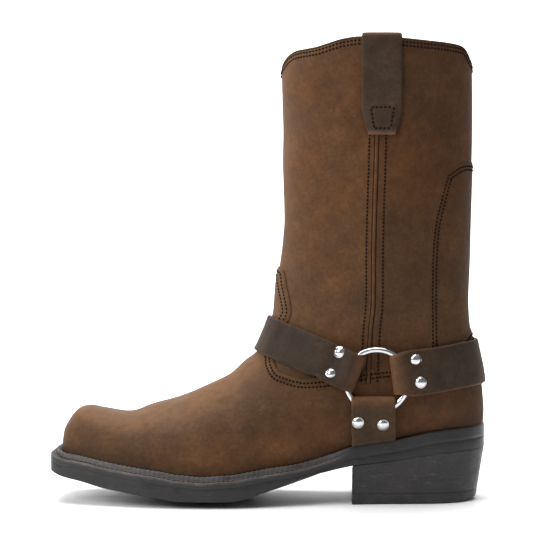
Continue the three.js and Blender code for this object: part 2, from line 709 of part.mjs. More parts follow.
// Outer face of a strap: proud of the vamp, and higher where it doubles round the ring
const strapFloor = vampStep + gap;
function strapFace(p) {
  const far = Math.hypot(p.x - ringX, p.z - ringHeight);
  const near = 1 - THREE.MathUtils.smoothstep(far - ringRadius + 0.5 * wireRadius, 0, loopSpread);
  return strapFloor + strapThickness + loopRise * near;
}
const strapForm = form(FINE, strapFace);
const loopRadius = wireRadius + gap + loopLeather;

// Side view frame of a strap: out from the ring's centre, and across
function strapFrame(strap) {
  const a = THREE.MathUtils.degToRad(strap.angle);
  const out = [Math.cos(a), Math.sin(a)];
  const across = Math.cos(a) < -0.1 ? [Math.sin(a), -Math.cos(a)] : [-Math.sin(a), Math.cos(a)];
  return { out, across };
}
function strapPoint(strap, along, side) {
  const { out, across } = strapFrame(strap);
  return [
    ringX + out[0] * along + across[0] * (side + strap.offset),
    ringHeight + out[1] * along + across[1] * (side + strap.offset),
  ];
}
function strapOutline(strap) {
  const pinch = 0.5 * strap.loop;
  const half = 0.5 * strap.width;
  const start = strap.fold + loopRadius;
  return [
    strapPoint(strap, start, -pinch),
    strapPoint(strap, start + foldReach, -half),
    strapPoint(strap, strap.end, -half),
    strapPoint(strap, strap.end, half),
    strapPoint(strap, start + foldReach, half),
    strapPoint(strap, start, pinch),
  ];
}

// The fold of a strap round a ring's wire
function strapLoop(strap, frame) {
  const { out, across } = strapFrame(strap);
  const n = frame.normal;
  const v = new THREE.Vector3(out[0], 0, out[1]);
  v.addScaledVector(n, -v.dot(n)).normalize();
  const u = n.clone().cross(v).normalize();
  const shape = new THREE.Shape();
  const middle = strap.fold + loopRadius;
  shape.moveTo(middle + foldReach, -loopRadius);
  shape.lineTo(middle + foldReach, loopRadius);
  shape.lineTo(middle, loopRadius);
  shape.absarc(middle, 0, loopRadius, Math.PI / 2, (3 * Math.PI) / 2, false);
  const settings = { depth: strap.loop, bevelEnabled: false, curveSegments: 5 };
  const geometry = new THREE.ExtrudeGeometry(shape, settings);
  geometry.translate(0, 0, -0.5 * strap.loop);
  geometry.applyMatrix4(new THREE.Matrix4().makeBasis(v, n, v.clone().cross(n)));
  const shift = new THREE.Vector3(across[0], 0, across[1]);
  shift.addScaledVector(n, -shift.dot(n)).normalize().multiplyScalar(strap.offset);
  const at = frame.centre.clone().add(shift);
  geometry.translate(at.x, at.y, at.z);
  return solidOf(geometry);
}

// Straps: a band over the upper with a fold at each ring it holds
const overBead = slab(() => below, (along) => featherZ(along) + gap);
function strapSolid(strap, frames, y0, y1) {
  let solid = strapForm.intersect(prism(strapOutline(strap), y0, y1));
  for (const frame of frames) solid = solid.add(strapLoop(strap, frame));
  solid = solid.subtract(overVamp).subtract(overBead);
  for (const frame of frames) solid = solid.subtract(frame.tunnel);
  return solid;
}
const both = [ringFrames.outer, ringFrames.inner];
const strapMeshes = {
  front: place("front_strap", strapSolid(STRAPS.front, both, -aside, aside), strapLeather),
  back: place("back_strap", strapSolid(STRAPS.back, both, -aside, aside), strapLeather),
};
for (const [name, frame] of Object.entries(ringFrames)) {
  const [y0, y1] = frame.side < 0 ? [-aside, 0] : [0, aside];
  const solid = strapSolid(STRAPS.down, [frame], y0, y1);
  strapMeshes[name] = place(name + "_down_strap", solid, strapLeather);
}

// Domed rivets, lying flat on the straps' outer faces
function rivet(name, mesh, strap, spot, side) {
  const [x, z] = strapPoint(strap, spot.out, spot.side);
  const seat = onSide(x, z, side);
  const level = new THREE.Vector3(0, 1, 0).cross(seat.normal).normalize();
  const rise = seat.normal.clone().cross(level);
  const touch = (angle, reach) => {
    const start = seat.point.clone().addScaledVector(seat.normal, ringRadius);
    start.addScaledVector(level, reach * Math.cos(angle)).addScaledVector(rise, reach * Math.sin(angle));
    const hits = new THREE.Raycaster(start, seat.normal.clone().negate()).intersectObject(mesh);
    return hits[0].point;
  };
  const rim = [0, 1, 2, 3, 4, 5, 6, 7].map((k) => touch((k * Math.PI) / 4, rivetRadius));
  const across = rim[0].clone().sub(rim[4]);
  const normal = across.cross(rim[2].clone().sub(rim[6])).normalize();
  if (normal.dot(seat.normal) < 0) normal.negate();
  const centre = touch(0, 0);
  const high = Math.max(...rim.map((p) => p.sub(centre).dot(normal)), 0);
  const profile = [
    [0, 0],
    [rivetRadius, 0],
    [rivetRadius, 0.25 * rivetHeight],
    [0.75 * rivetRadius, 0.75 * rivetHeight],
    [0.35 * rivetRadius, rivetHeight],
    [0, rivetHeight],
  ];
  const geometry = new THREE.LatheGeometry(profile.map(([r, h]) => new THREE.Vector2(r, h)), 10);
  geometry.applyQuaternion(new THREE.Quaternion().setFromUnitVectors(new THREE.Vector3(0, 1, 0), normal));
  const at = centre.addScaledVector(normal, high + gap);
  geometry.translate(at.x, at.y, at.z);
  place(name, solidOf(geometry), chrome);
}
for (const [name, side] of Object.entries(rings)) {
  for (const end of ["front", "back", "down"]) {
    const mesh = strapMeshes[end === "down" ? name : end];
    STRAPS[end].rivets.forEach((spot, i) => {
      rivet(name + "_" + end + "_rivet_" + (i + 1), mesh, STRAPS[end], spot, side);
    });
  }
}

// Pull straps, bent over the collar's edge
const pullX = xAt(pullAlong);
const pullTop = collarZ + gap + pullThickness;
const pullOutline = [
  [pullX - 0.5 * pullWidth, pullTop],
  [pullX + 0.5 * pullWidth, pullTop],
  [pullX + 0.5 * pullWidth, collarZ - pullLength + pullTaper],
  [pullX + 0.5 * pullEndWidth, collarZ - pullLength],
  [pullX - 0.5 * pullEndWidth, collarZ - pullLength],
  [pullX - 0.5 * pullWidth, collarZ - pullLength + pullTaper],
];
const pullOuter = form(FINE, gap + pullThickness, rimRise);
const pullInner = form(COARSE, -wall - gap - pullThickness, rimRise);
const clearOuter = form(FINE, gap, gap);
const clearInner = form(COARSE, -wall - gap, rimRise);
for (const [name, side] of Object.entries(rings)) {
  const [y0, y1] = side < 0 ? [-aside, 0] : [0, aside];
  const solid = pullOuter
    .subtract(pullInner)
    .intersect(prism(pullOutline, y0, y1))
    .subtract(clearOuter.subtract(clearInner));
  place(name + "_pull_strap", solid, strapLeather);
}

// Stand the boot on the origin, in the middle of its box
const box = new THREE.Box3().setFromObject(boot);
const middle = box.getCenter(new THREE.Vector3());
boot.position.set(-middle.x, -middle.y, -box.min.z);

export default boot;
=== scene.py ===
"""Dresses the left harness boot: fine upper, sole, harness, finishes, floor, light and camera."""

from __future__ import annotations

import sys

import logging
import math
from dataclasses import dataclass, field
from enum import Enum

import bmesh
import bpy
import numpy as np
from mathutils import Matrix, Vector
from mathutils.bvhtree import BVHTree


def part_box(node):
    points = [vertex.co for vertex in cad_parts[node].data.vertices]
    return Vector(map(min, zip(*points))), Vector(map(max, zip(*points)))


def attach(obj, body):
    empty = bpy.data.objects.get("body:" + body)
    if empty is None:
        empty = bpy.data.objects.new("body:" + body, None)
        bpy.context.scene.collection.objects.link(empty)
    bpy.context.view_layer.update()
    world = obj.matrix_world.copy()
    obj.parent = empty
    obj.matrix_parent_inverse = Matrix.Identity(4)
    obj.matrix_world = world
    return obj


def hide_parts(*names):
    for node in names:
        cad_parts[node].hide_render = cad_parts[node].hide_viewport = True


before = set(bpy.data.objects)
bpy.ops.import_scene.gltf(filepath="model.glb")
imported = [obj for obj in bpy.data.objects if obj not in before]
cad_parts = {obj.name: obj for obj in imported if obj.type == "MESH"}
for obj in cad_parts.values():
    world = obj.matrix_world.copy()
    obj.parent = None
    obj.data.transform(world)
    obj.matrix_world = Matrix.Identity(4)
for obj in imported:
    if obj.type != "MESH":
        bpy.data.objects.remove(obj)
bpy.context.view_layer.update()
MM = 0.001
log = logging.getLogger("boot")

# Sections of the upper as on the boot's last: topAt and baseAt are shares of the sole length from
# the toe, topUp of the instep height (foot) or shaft height (shaft), baseUp of the collar's height
# over the seat, widths are shares of the ball (foot) or shaft width, belly, crown and heel shape
# the section's arcs.
SECTION_COLUMNS = ("topAt", "topUp", "baseAt", "baseUp", "outer", "inner", "ridge", "belly", "crown", "heel")
FOOT = (
    (0.028, 0.12, 0.028, None, 0.12, 0.2, 0.04, 0.5, 2.6, 3.2),
    (0.0307, 0.187, 0.03, None, 0.172, 0.252, 0.04, 0.5, 2.6, 3.3),
    (0.0386, 0.25, 0.0365, None, 0.212, 0.292, 0.04, 0.5, 2.6, 3.4),
    (0.0572, 0.345, 0.052, None, 0.26, 0.33, 0.04, 0.5, 2.6, 3.6),
    (0.0745, 0.375, 0.07, None, 0.295, 0.36, 0.042, 0.49, 2.5, 3.6),
    (0.1105, 0.381, 0.1075, None, 0.345, 0.4, 0.045, 0.48, 2.4, 3.6),
    (0.1856, 0.404, 0.187, None, 0.423, 0.46, 0.05, 0.44, 2.2, 3.6),
    (0.2225, 0.476, 0.228, None, 0.455, 0.48, 0.05, 0.42, 2.1, 3.6),
    (0.297, 0.601, 0.307, None, 0.5, 0.485, 0.05, 0.39, 2.0, 3.5),
    (0.372, 0.734, 0.39, None, 0.515, 0.45, 0.045, 0.37, 1.95, 3.2),
    (0.409, 0.796, 0.44, None, 0.505, 0.428, 0.04, 0.36, 1.9, 3.0),
    (0.447, 0.905, 0.515, None, 0.475, 0.41, 0.032, 0.36, 1.9, 2.7),
    (0.4745, 0.97, 0.6, None, 0.44, 0.395, 0.024, 0.37, 1.92, 2.6),
)
SHAFT = (
    (0.4945, 0.055, 0.69, None, 0.415, 0.388, 0.012, 0.38, 1.95, 2.6),
    (0.512, 0.1235, 0.79, None, 0.405, 0.39, 0.006, 0.41, 1.98, 2.6),
    (0.517, 0.197, 0.885, None, 0.405, 0.397, 0.0, 0.42, 2.0, 2.6),
    (0.519, 0.229, 0.95, None, 0.41, 0.405, 0.0, 0.43, 2.02, 2.4),
    (0.521, 0.252, 0.9846, -0.031, 0.415, 0.41, 0.0, 0.44, 2.04, 2.3),
    (0.5235, 0.277, 0.9944, 0.021, 0.42, 0.416, 0.0, 0.45, 2.06, 2.2),
    (0.526, 0.302, 0.9925, 0.074, 0.424, 0.42, 0.0, 0.46, 2.08, 2.15),
    (0.5295, 0.339, 0.9863, 0.134, 0.43, 0.428, 0.0, 0.47, 2.1, 2.12),
    (0.5326, 0.3845, 0.975, 0.197, 0.438, 0.436, 0.0, 0.48, 2.12, 2.12),
    (0.535, 0.435, 0.9644, 0.261, 0.446, 0.446, 0.0, 0.49, 2.14, 2.12),
    (0.5346, 0.49, 0.9614, 0.3245, 0.454, 0.454, 0.0, 0.5, 2.15, 2.13),
    (0.5333, 0.545, 0.964, 0.407, 0.463, 0.463, 0.0, 0.5, 2.15, 2.14),
    (0.5317, 0.627, 0.9673, 0.545, 0.476, 0.476, 0.0, 0.5, 2.15, 2.15),
    (0.5327, 0.728, 0.9722, 0.725, 0.49, 0.49, 0.0, 0.5, 2.15, 2.15),
    (0.53, 0.856, 0.9729, 0.882, 0.498, 0.498, 0.0, 0.5, 2.15, 2.15),
    (0.5288, 1.0, 0.9719, 1.0, 0.5, 0.5, 0.0, 0.5, 2.15, 2.15),
)

# Sole from the side: shares of toe spring, heel height, edge lift and outsole thickness.
PROFILE = (
    (0.0, 1.0, 0.0, 0.7, 0.79),
    (0.025, 0.83, 0.0, 0.7, 0.81),
    (0.075, 0.646, 0.0, 0.8, 0.94),
    (0.125, 0.44, 0.0, 0.86, 1.02),
    (0.19, 0.25, 0.0, 0.97, 1.06),
    (0.257, 0.1, 0.0, 1.0, 1.08),
    (0.3, 0.0, 0.0, 1.0, 1.07),
    (0.35, 0.0, 0.0, 1.0, 0.98),
    (0.4, 0.0, 0.0, 1.0, 1.05),
    (0.45, 0.0, 0.07, 1.0, 1.05),
    (0.5, 0.0, 0.245, 1.2, 0.885),
    (0.57, 0.0, 0.49, 1.34, 0.61),
    (0.635, 0.0, 0.755, 0.85, 0.48),
    (0.686, 0.0, 1.0, 0.12, 0.38),
    (0.78, 0.0, 1.15, 0.0, 0.42),
    (0.88, 0.0, 1.32, 0.0, 0.54),
    (1.0, 0.0, 1.43, 0.0, 0.58),
)

# Welt from above: half widths to the outer and inner side as shares of the sole width.
PLAN = (
    (0.0, 0.19, 0.245),
    (0.004, 0.235, 0.284),
    (0.013, 0.262, 0.314),
    (0.03, 0.288, 0.342),
    (0.06, 0.324, 0.372),
    (0.11, 0.372, 0.416),
    (0.17, 0.42, 0.455),
    (0.24, 0.469, 0.485),
    (0.3, 0.493, 0.484),
    (0.36, 0.505, 0.46),
    (0.42, 0.5, 0.416),
    (0.5, 0.464, 0.346),
    (0.58, 0.4125, 0.302),
    (0.66, 0.366, 0.296),
    (0.75, 0.336, 0.309),
    (0.85, 0.327, 0.321),
    (0.91, 0.305, 0.304),
    (0.955, 0.25, 0.25),
    (0.985, 0.161, 0.161),
    (0.997, 0.08, 0.08),
    (1.0, 0.04, 0.04),
)

# Upper edge of vamp and counter: share of the sole length, share of instep height over the welt.
VAMP_EDGE = (
    (0.524, 1.705),
    (0.535, 1.66),
    (0.54, 1.535),
    (0.5503, 1.31),
    (0.54, 1.2),
    (0.516, 1.03),
    (0.511, 0.9),
    (0.52, 0.81),
    (0.539, 0.77),
    (0.5775, 0.7125),
    (0.64, 0.665),
    (0.704, 0.64),
    (0.769, 0.636),
    (0.829, 0.615),
    (0.878, 0.634),
    (0.9216, 0.7275),
    (0.9706, 0.845),
)

# Front edge of the backstay and the side seam: share of length, share of height over the seat.
BACKSTAY_EDGE = (
    (0.973, 0.6875),
    (0.9458, 0.684),
    (0.926, 0.675),
    (0.9056, 0.659),
    (0.896, 0.647),
    (0.882, 0.594),
    (0.8654, 0.512),
    (0.86, 0.42),
    (0.859, 0.3),
    (0.86, 0.14),
)
SEAM = ((0.7405, 0.86), (0.74, 0.7465), (0.734, 0.48), (0.7335, 0.32), (0.728, 0.25), (0.722, 0.112))

# Drop of the collar's edge: sine of the turn round the shaft, share of the front or back dip.
COLLAR_FRONT = (
    (0.0, 0.0),
    (0.21, 0.01),
    (0.34, 0.064),
    (0.42, 0.132),
    (0.57, 0.3),
    (0.63, 0.352),
    (0.7, 0.384),
    (0.84, 0.42),
    (0.908, 0.505),
    (0.96, 0.674),
    (0.99, 0.833),
    (1.0, 1.0),
)
COLLAR_BACK = (
    (0.0, 0.0),
    (0.18, 0.075),
    (0.47, 0.17),
    (0.73, 0.22),
    (0.84, 0.274),
    (0.89, 0.4),
    (0.95, 0.785),
    (1.0, 1.0),
)

# A stitch's rings: shares of its length along, of its radius round, and of its radius up.
STITCH_RINGS = (
    (-0.5, 0.25, -0.35),
    (-0.38, 0.9, 0.05),
    (0.0, 1.0, 0.3),
    (0.38, 0.9, 0.05),
    (0.5, 0.25, -0.35),
)

# The heel cap's rings: level in the heel, height in millimetres, and how far the outline is pushed out.
HEEL_TAP = (
    (0.0, 0.0, -1.6),
    (0.02, 0.25, -0.7),
    (0.06, 1.0, -0.05),
    (0.16, 4.0, 0.0),
    (0.215, 7.2, 0.0),
    (0.218, 7.5, -0.06),
)

# A trim strip's section: shares of its width across and of its height up.
STRIP_SECTION = (
    (-0.5, -0.6),
    (-0.48, 0.35),
    (-0.3, 0.85),
    (0.0, 1.0),
    (0.3, 0.85),
    (0.48, 0.35),
    (0.5, -0.6),
)

# Rounding of a strap's edges, in shares of the leather's half thickness from the edge inwards.
STRAP_ROUNDING = (0.6, 0.2, 0.04)
Places = list[tuple[np.ndarray, np.ndarray]]


class Side(Enum):
    """The outer (-Y) and inner (+Y) side of the boot."""

    OUTER = -1
    INNER = 1


class Band(Enum):
    """The three kinds of harness strap."""

    FRONT = "front"
    BACK = "back"
    DOWN = "down"


def smooth(value: np.ndarray | float, low: float, high: float) -> np.ndarray:
    """Smooth step of value from 0 at low to 1 at high."""
    t = np.clip((np.asarray(value, float) - low) / (high - low), 0.0, 1.0)
    return t * t * (3.0 - 2.0 * t)


def hermite(knots: np.ndarray, values: np.ndarray, tangent: np.ndarray, at: np.ndarray) -> np.ndarray:
    """Cubic through values at knots, with a tangent at each.

    Args:
        knots: increasing places of the values.
        values: what the curve passes through.
        tangent: its slope at each knot.
        at: where it is read.

    Returns:
        The curve's value at each place.
    """
    h = np.diff(knots)
    i = np.clip(np.searchsorted(knots, at, side="left") - 1, 0, len(h) - 1)
    t = np.clip((at - knots[i]) / h[i], 0.0, 1.0)
    return (
        (2 * t**3 - 3 * t**2 + 1) * values[i]
        + (t**3 - 2 * t**2 + t) * h[i] * tangent[i]
        + (3 * t**2 - 2 * t**3) * values[i + 1]
        + (t**3 - t**2) * h[i] * tangent[i + 1]
    )


def steady(places: np.ndarray, values: np.ndarray, at: np.ndarray) -> np.ndarray:
    """Cubic through a table's column that never overshoots.

    Args:
        places: increasing places of the rows.
        values: the column.
        at: where it is read.

    Returns:
        The column's value at each place.
    """
    slope = np.diff(values) / np.diff(places)
    tangent = np.empty_like(values)
    tangent[0], tangent[-1] = slope[0], slope[-1]
    a, b = slope[:-1], slope[1:]
    with np.errstate(divide="ignore", invalid="ignore"):
        tangent[1:-1] = np.where(a * b <= 0, 0.0, 2 * a * b / (a + b))
    return hermite(places, values, tangent, np.asarray(at, float))


def run_of(points: np.ndarray) -> np.ndarray:
    """Distance run along a line of points, from its start to each."""
    return np.concatenate([[0.0], np.cumsum(np.linalg.norm(np.diff(points, axis=0), axis=1))])


def read_at(where: np.ndarray, run: np.ndarray, values: np.ndarray) -> np.ndarray:
    """Rows of values read at distances run along their line."""
    return np.stack([np.interp(where, run, values[:, k]) for k in range(values.shape[1])], axis=-1)


def soften(values: np.ndarray, passes: int) -> np.ndarray:
    """Averages each inner row of a line with its neighbours, a number of times."""
    out = values.copy()
    for _ in range(passes):
        out[1:-1] = (out[:-2] + 2 * out[1:-1] + out[2:]) / 4
    return out


def soften_loop(values: np.ndarray, passes: int) -> np.ndarray:
    """Averages each row of a closed loop with its neighbours, a number of times."""
    for _ in range(passes):
        values = (np.roll(values, 1, axis=0) + 2 * values + np.roll(values, -1, axis=0)) / 4
    return values


def nearest(points: np.ndarray, line: np.ndarray) -> tuple[np.ndarray, np.ndarray]:
    """Side-view distance of points from a line.

    Args:
        points: points in model millimetres.
        line: the line's points in the side view.

    Returns:
        Each point's distance, and how far along the line its nearest place lies, from 0 to 1.
    """
    flat = points[..., [0, 2]].reshape(-1, 2)
    near = np.full(len(flat), 1e9)
    run = np.zeros(len(flat))
    for i, (a, b) in enumerate(zip(line[:-1], line[1:])):
        ab = b - a
        t = np.clip(((flat - a) @ ab) / max(ab @ ab, 1e-9), 0.0, 1.0)
        gap = np.linalg.norm(flat - (a + t[:, None] * ab), axis=1)
        closer = gap < near
        near = np.where(closer, gap, near)
        run = np.where(closer, (i + t) / (len(line) - 1), run)
    return near.reshape(points.shape[:-1]), run.reshape(points.shape[:-1])


@dataclass
class Last:
    """The boot's sizes in millimetres, and the surfaces worked out from them."""

    sole_length: float = 306.0
    sole_width: float = 112.0
    toe_spring: float = 19.5
    heel_height: float = 26.5
    outsole: float = 13.0
    edge_lift: float = 4.6
    welt: float = 4.6
    bead: float = 3.9
    ball_width: float = 100.0
    instep_height: float = 80.0
    shaft_height: float = 218.0
    shaft_width: float = 100.0
    wall: float = 2.4
    front_dip: float = 16.5
    back_dip: float = 13.5
    vamp_step: float = 1.5
    gap: float = 0.3
    tuck: float = field(init=False)
    rows: dict[str, np.ndarray] = field(init=False)

    def __post_init__(self) -> None:
        """Works out the sections and the shift into the row's frame."""
        self.tuck = self.bead + self.welt + 5.5
        self.toe_x = -0.5 * self.sole_length
        self.profile = np.array(PROFILE)
        self.plan = np.array(PLAN)
        self.seat_z = float(self.feather_z(1.0))
        throat = FOOT[-1]
        self.throat_z = float(self.feather_z(throat[0]) + self.instep_height * throat[1])
        self.collar_z = self.throat_z + self.shaft_height
        self.rows = self._rows()
        low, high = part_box("welt")
        self.shift = np.array([low.x / MM - self.toe_x, low.y / MM + self._widest(1), 0.0])
        drift = abs(high.y / MM - self._widest(2) - self.shift[1])
        if drift > 0.5:
            log.warning("the welt is off by %.2f mm", drift)

    def _widest(self, column: int) -> float:
        """The welt's widest half width in a column of the plan, at the CAD stations."""
        stations = np.array([0.255, 0.3, 0.35, 0.4, 0.45])
        return float(self.half_width(stations, column).max())

    def half_width(self, along: np.ndarray | float, column: int) -> np.ndarray:
        """Half width of the welt: column 1 to the outer side, 2 to the inner side."""
        return self.sole_width * steady(self.plan[:, 0], self.plan[:, column], along)

    def bottom_z(self, along: np.ndarray | float) -> np.ndarray:
        """Height of the outsole's underside along its middle."""
        p = self.profile
        spring = self.toe_spring * steady(p[:, 0], p[:, 1], along)
        return spring + self.heel_height * steady(p[:, 0], p[:, 2], along)

    def edge_z(self, along: np.ndarray | float) -> np.ndarray:
        """Height of the outsole's lower edge at the side."""
        return self.bottom_z(along) + self.edge_lift * steady(self.profile[:, 0], self.profile[:, 3], along)

    def outsole_top(self, along: np.ndarray | float) -> np.ndarray:
        """Height of the outsole's upper face."""
        return self.bottom_z(along) + self.outsole * steady(self.profile[:, 0], self.profile[:, 4], along)

    def welt_top(self, along: np.ndarray | float) -> np.ndarray:
        """Height of the welt's flat upper face."""
        return self.outsole_top(along) + self.gap + self.welt

    def feather_z(self, along: np.ndarray | float) -> np.ndarray:
        """Height at which the upper meets the welt's bead."""
        return self.welt_top(along) + self.bead

    def x_at(self, along: np.ndarray | float) -> np.ndarray:
        """Model X at a share of the sole length."""
        return self.toe_x + np.asarray(along, float) * self.sole_length

    def along_at(self, x: np.ndarray | float) -> np.ndarray:
        """Share of the sole length at a model X."""
        return (np.asarray(x, float) - self.toe_x) / self.sole_length

    def seat_up(self, up: np.ndarray | float) -> np.ndarray:
        """Height at a share of the collar's height over the seat."""
        return self.seat_z + (self.collar_z - self.seat_z) * np.asarray(up, float)

    def _rows(self) -> dict[str, np.ndarray]:
        """The sections in millimetres, with knot as the distance run along top and base."""
        made = []
        for i, values in enumerate(FOOT + SHAFT):
            r = dict(zip(SECTION_COLUMNS, values))
            foot = i < len(FOOT)
            scale = self.ball_width if foot else self.shaft_width
            top_z = self.throat_z + self.shaft_height * r["topUp"]
            if foot:
                top_z = float(self.feather_z(r["topAt"])) + self.instep_height * r["topUp"]
            if r["baseUp"] is None:
                base_z = float(self.feather_z(r["baseAt"])) - self.tuck
            else:
                base_z = float(self.seat_up(r["baseUp"]))
            made.append(
                {
                    "top_x": float(self.x_at(r["topAt"])),
                    "top_z": top_z,
                    "base_x": float(self.x_at(r["baseAt"])),
                    "base_z": base_z,
                    "outer": scale * r["outer"],
                    "inner": scale * r["inner"],
                    "ridge": scale * r["ridge"],
                    "belly": r["belly"],
                    "crown": r["crown"],
                    "heel": r["heel"],
                }
            )
        rows = {name: np.array([m[name] for m in made]) for name in made[0]}
        top = np.hypot(np.diff(rows["top_x"]), np.diff(rows["top_z"]))
        base = np.hypot(np.diff(rows["base_x"]), np.diff(rows["base_z"]))
        rows["knot"] = np.concatenate([[0.0], np.cumsum(0.5 * (top + base))])
        return rows

    def section(self, at: np.ndarray) -> dict[str, np.ndarray]:
        """The sections' values at knots, by a cubic through each row's neighbours."""
        knots = self.rows["knot"]
        h = np.diff(knots)
        out = {}
        for name, values in self.rows.items():
            slope = np.diff(values) / h
            tangent = np.empty_like(values)
            tangent[0], tangent[-1] = slope[0], slope[-1]
            tangent[1:-1] = (slope[:-1] * h[1:] + slope[1:] * h[:-1]) / (h[:-1] + h[1:])
            out[name] = hermite(knots, values, tangent, at)
        return out

    def collar_drop(self, turn: np.ndarray) -> np.ndarray:
        """How far the collar's edge lies under its sides, at a turn round the shaft."""
        front, back = np.array(COLLAR_FRONT), np.array(COLLAR_BACK)
        ahead = steady(front[:, 0], front[:, 1], np.maximum(0.0, np.sin(turn)))
        behind = steady(back[:, 0], back[:, 1], np.maximum(0.0, -np.sin(turn)))
        return self.front_dip * ahead + self.back_dip * behind

    def skin(self, at: np.ndarray, turn: np.ndarray) -> np.ndarray:
        """Points of the upper's outer face in model millimetres.

        Args:
            at: knots along the boot from the toe to the collar.
            turn: turns round the section, 90 degrees at the top or front.

        Returns:
            An array of points with the shape of at, times three.
        """
        s = self.section(at)
        run_x, run_z = s["top_x"] - s["base_x"], s["top_z"] - s["base_z"]
        length = np.hypot(run_x, run_z)
        c, u = np.cos(turn), np.sin(turn)
        power = 2.0 / np.where(u > 0, s["crown"], s["heel"])
        reach = np.where(u > 0, 1.0 - s["belly"], s["belly"]) * length * np.abs(u) ** power
        half = np.where(c > 0, s["outer"] + s["ridge"], s["inner"] - s["ridge"])
        p = s["belly"] * length + np.sign(u) * reach
        y = s["ridge"] - np.sign(c) * half * np.abs(c) ** power
        lean = smooth(at, self.rows["knot"][-2], self.rows["knot"][-1])
        z = s["base_z"] + run_z / length * p - lean * self.collar_drop(turn)
        return np.stack([s["base_x"] + run_x / length * p, y, z], axis=-1)

    def normal(self, at: np.ndarray, turn: np.ndarray) -> np.ndarray:
        """Outward unit normals of the outer face."""
        last = self.rows["knot"][-1]
        a = self.skin(np.minimum(at + 0.6, last), turn) - self.skin(np.maximum(at - 0.6, 0.0), turn)
        b = self.skin(at, turn + 0.03) - self.skin(at, turn - 0.03)
        n = -np.cross(b, a)
        return n / np.linalg.norm(n, axis=-1, keepdims=True)


def mesh_object(
    name: str, points: np.ndarray, faces: list[tuple[int, ...]], shift: np.ndarray
) -> bpy.types.Object:
    """Makes a smooth mesh object from model millimetres.

    Args:
        name: the piece's name.
        points: vertices in model millimetres.
        faces: vertex indices of each face.
        shift: shift into the row's frame.

    Returns:
        The new object, linked to the scene.
    """
    mesh = bpy.data.meshes.new(name)
    placed = (np.asarray(points, float) + shift) * MM
    mesh.from_pydata(placed.tolist(), [], [tuple(int(i) for i in f) for f in faces])
    mesh.validate(clean_customdata=False)
    mesh.polygons.foreach_set("use_smooth", [True] * len(mesh.polygons))
    made = bpy.data.objects.new(name, mesh)
    bpy.context.scene.collection.objects.link(made)
    return made


def grid_faces(rows: int, columns: int, closed: bool) -> list[tuple[int, int, int, int]]:
    """Quads over a grid of points laid row by row, closed round the columns where asked."""
    out = []
    for i in range(rows - 1):
        for j in range(columns if closed else columns - 1):
            k = (j + 1) % columns
            out.append((i * columns + j, i * columns + k, (i + 1) * columns + k, (i + 1) * columns + j))
    return out


def tube_faces(rows: int, columns: int) -> list[tuple[int, ...]]:
    """Quads round a tube of points laid ring by ring, with a face at each end."""
    faces: list[tuple[int, ...]] = list(grid_faces(rows, columns, True))
    faces.append(tuple(range(columns)))
    faces.append(tuple((rows - 1) * columns + i for i in reversed(range(columns))))
    return faces


def mark(piece: bpy.types.Object, name: str, values: np.ndarray) -> None:
    """Writes a value for each vertex, which the finish reads."""
    layer = piece.data.attributes.new(name, "FLOAT", "POINT")
    layer.data.foreach_set("value", np.asarray(values, np.float32).ravel())


def outward(piece: bpy.types.Object) -> bpy.types.Object:
    """Turns a closed piece's faces outwards."""
    work = bmesh.new()
    work.from_mesh(piece.data)
    bmesh.ops.recalc_face_normals(work, faces=work.faces)
    work.to_mesh(piece.data)
    work.free()
    return piece


def spline(points: tuple[tuple[float, float], ...] | np.ndarray, step: float) -> np.ndarray:
    """Even points on a smooth curve through given ones.

    Args:
        points: the points that the curve passes.
        step: distance between the points returned.

    Returns:
        The curve's points.
    """
    p = np.asarray(points, float)
    padded = np.vstack([2 * p[0] - p[1], p, 2 * p[-1] - p[-2]])
    fine = []
    t = np.linspace(0.0, 1.0, 24, endpoint=False)[:, None]
    for i in range(1, len(padded) - 2):
        a, b, c, d = padded[i - 1], padded[i], padded[i + 1], padded[i + 2]
        square, cube = 2 * a - 5 * b + 4 * c - d, 3 * b - a - 3 * c + d
        fine.append(0.5 * (2 * b + (c - a) * t + square * t**2 + cube * t**3))
    fine = np.vstack(fine + [p[-1:]])
    run = run_of(fine)
    return read_at(np.linspace(0.0, run[-1], max(2, int(round(run[-1] / step)) + 1)), run, fine)


def ribbon(
    name: str,
    mid: np.ndarray,
    look: np.ndarray,
    above: np.ndarray,
    below: np.ndarray,
    finish: tuple[bpy.types.Material, bpy.types.Material],
    shift: np.ndarray,
) -> tuple[bpy.types.Object, np.ndarray]:
    """A thick strap with its cut edges in their own finish.

    Args:
        name: the piece's name.
        mid: the mid layer's points, path by path across the strap.
        look: the direction in which the outer face looks, at each.
        above: how far the outer face lies over the mid layer, at each.
        below: how far the inner face lies under it.
        finish: materials of the faces and of the cut edges.
        shift: shift into the row's frame.

    Returns:
        The strap, and its points ring by ring.
    """
    top = (mid + look * above[..., None]).transpose(1, 0, 2)
    low = (mid - look * below[..., None]).transpose(1, 0, 2)[:, ::-1]
    grid = np.concatenate([top, low], axis=1)
    rows, columns = grid.shape[:2]
    piece = mesh_object(name, grid.reshape(-1, 3), tube_faces(rows, columns), shift)
    for material in finish:
        piece.data.materials.append(material)
    for index, polygon in enumerate(piece.data.polygons):
        if index < (rows - 1) * columns and index % columns in (columns // 2 - 1, columns - 1):
            polygon.material_index = 1
    return piece, grid


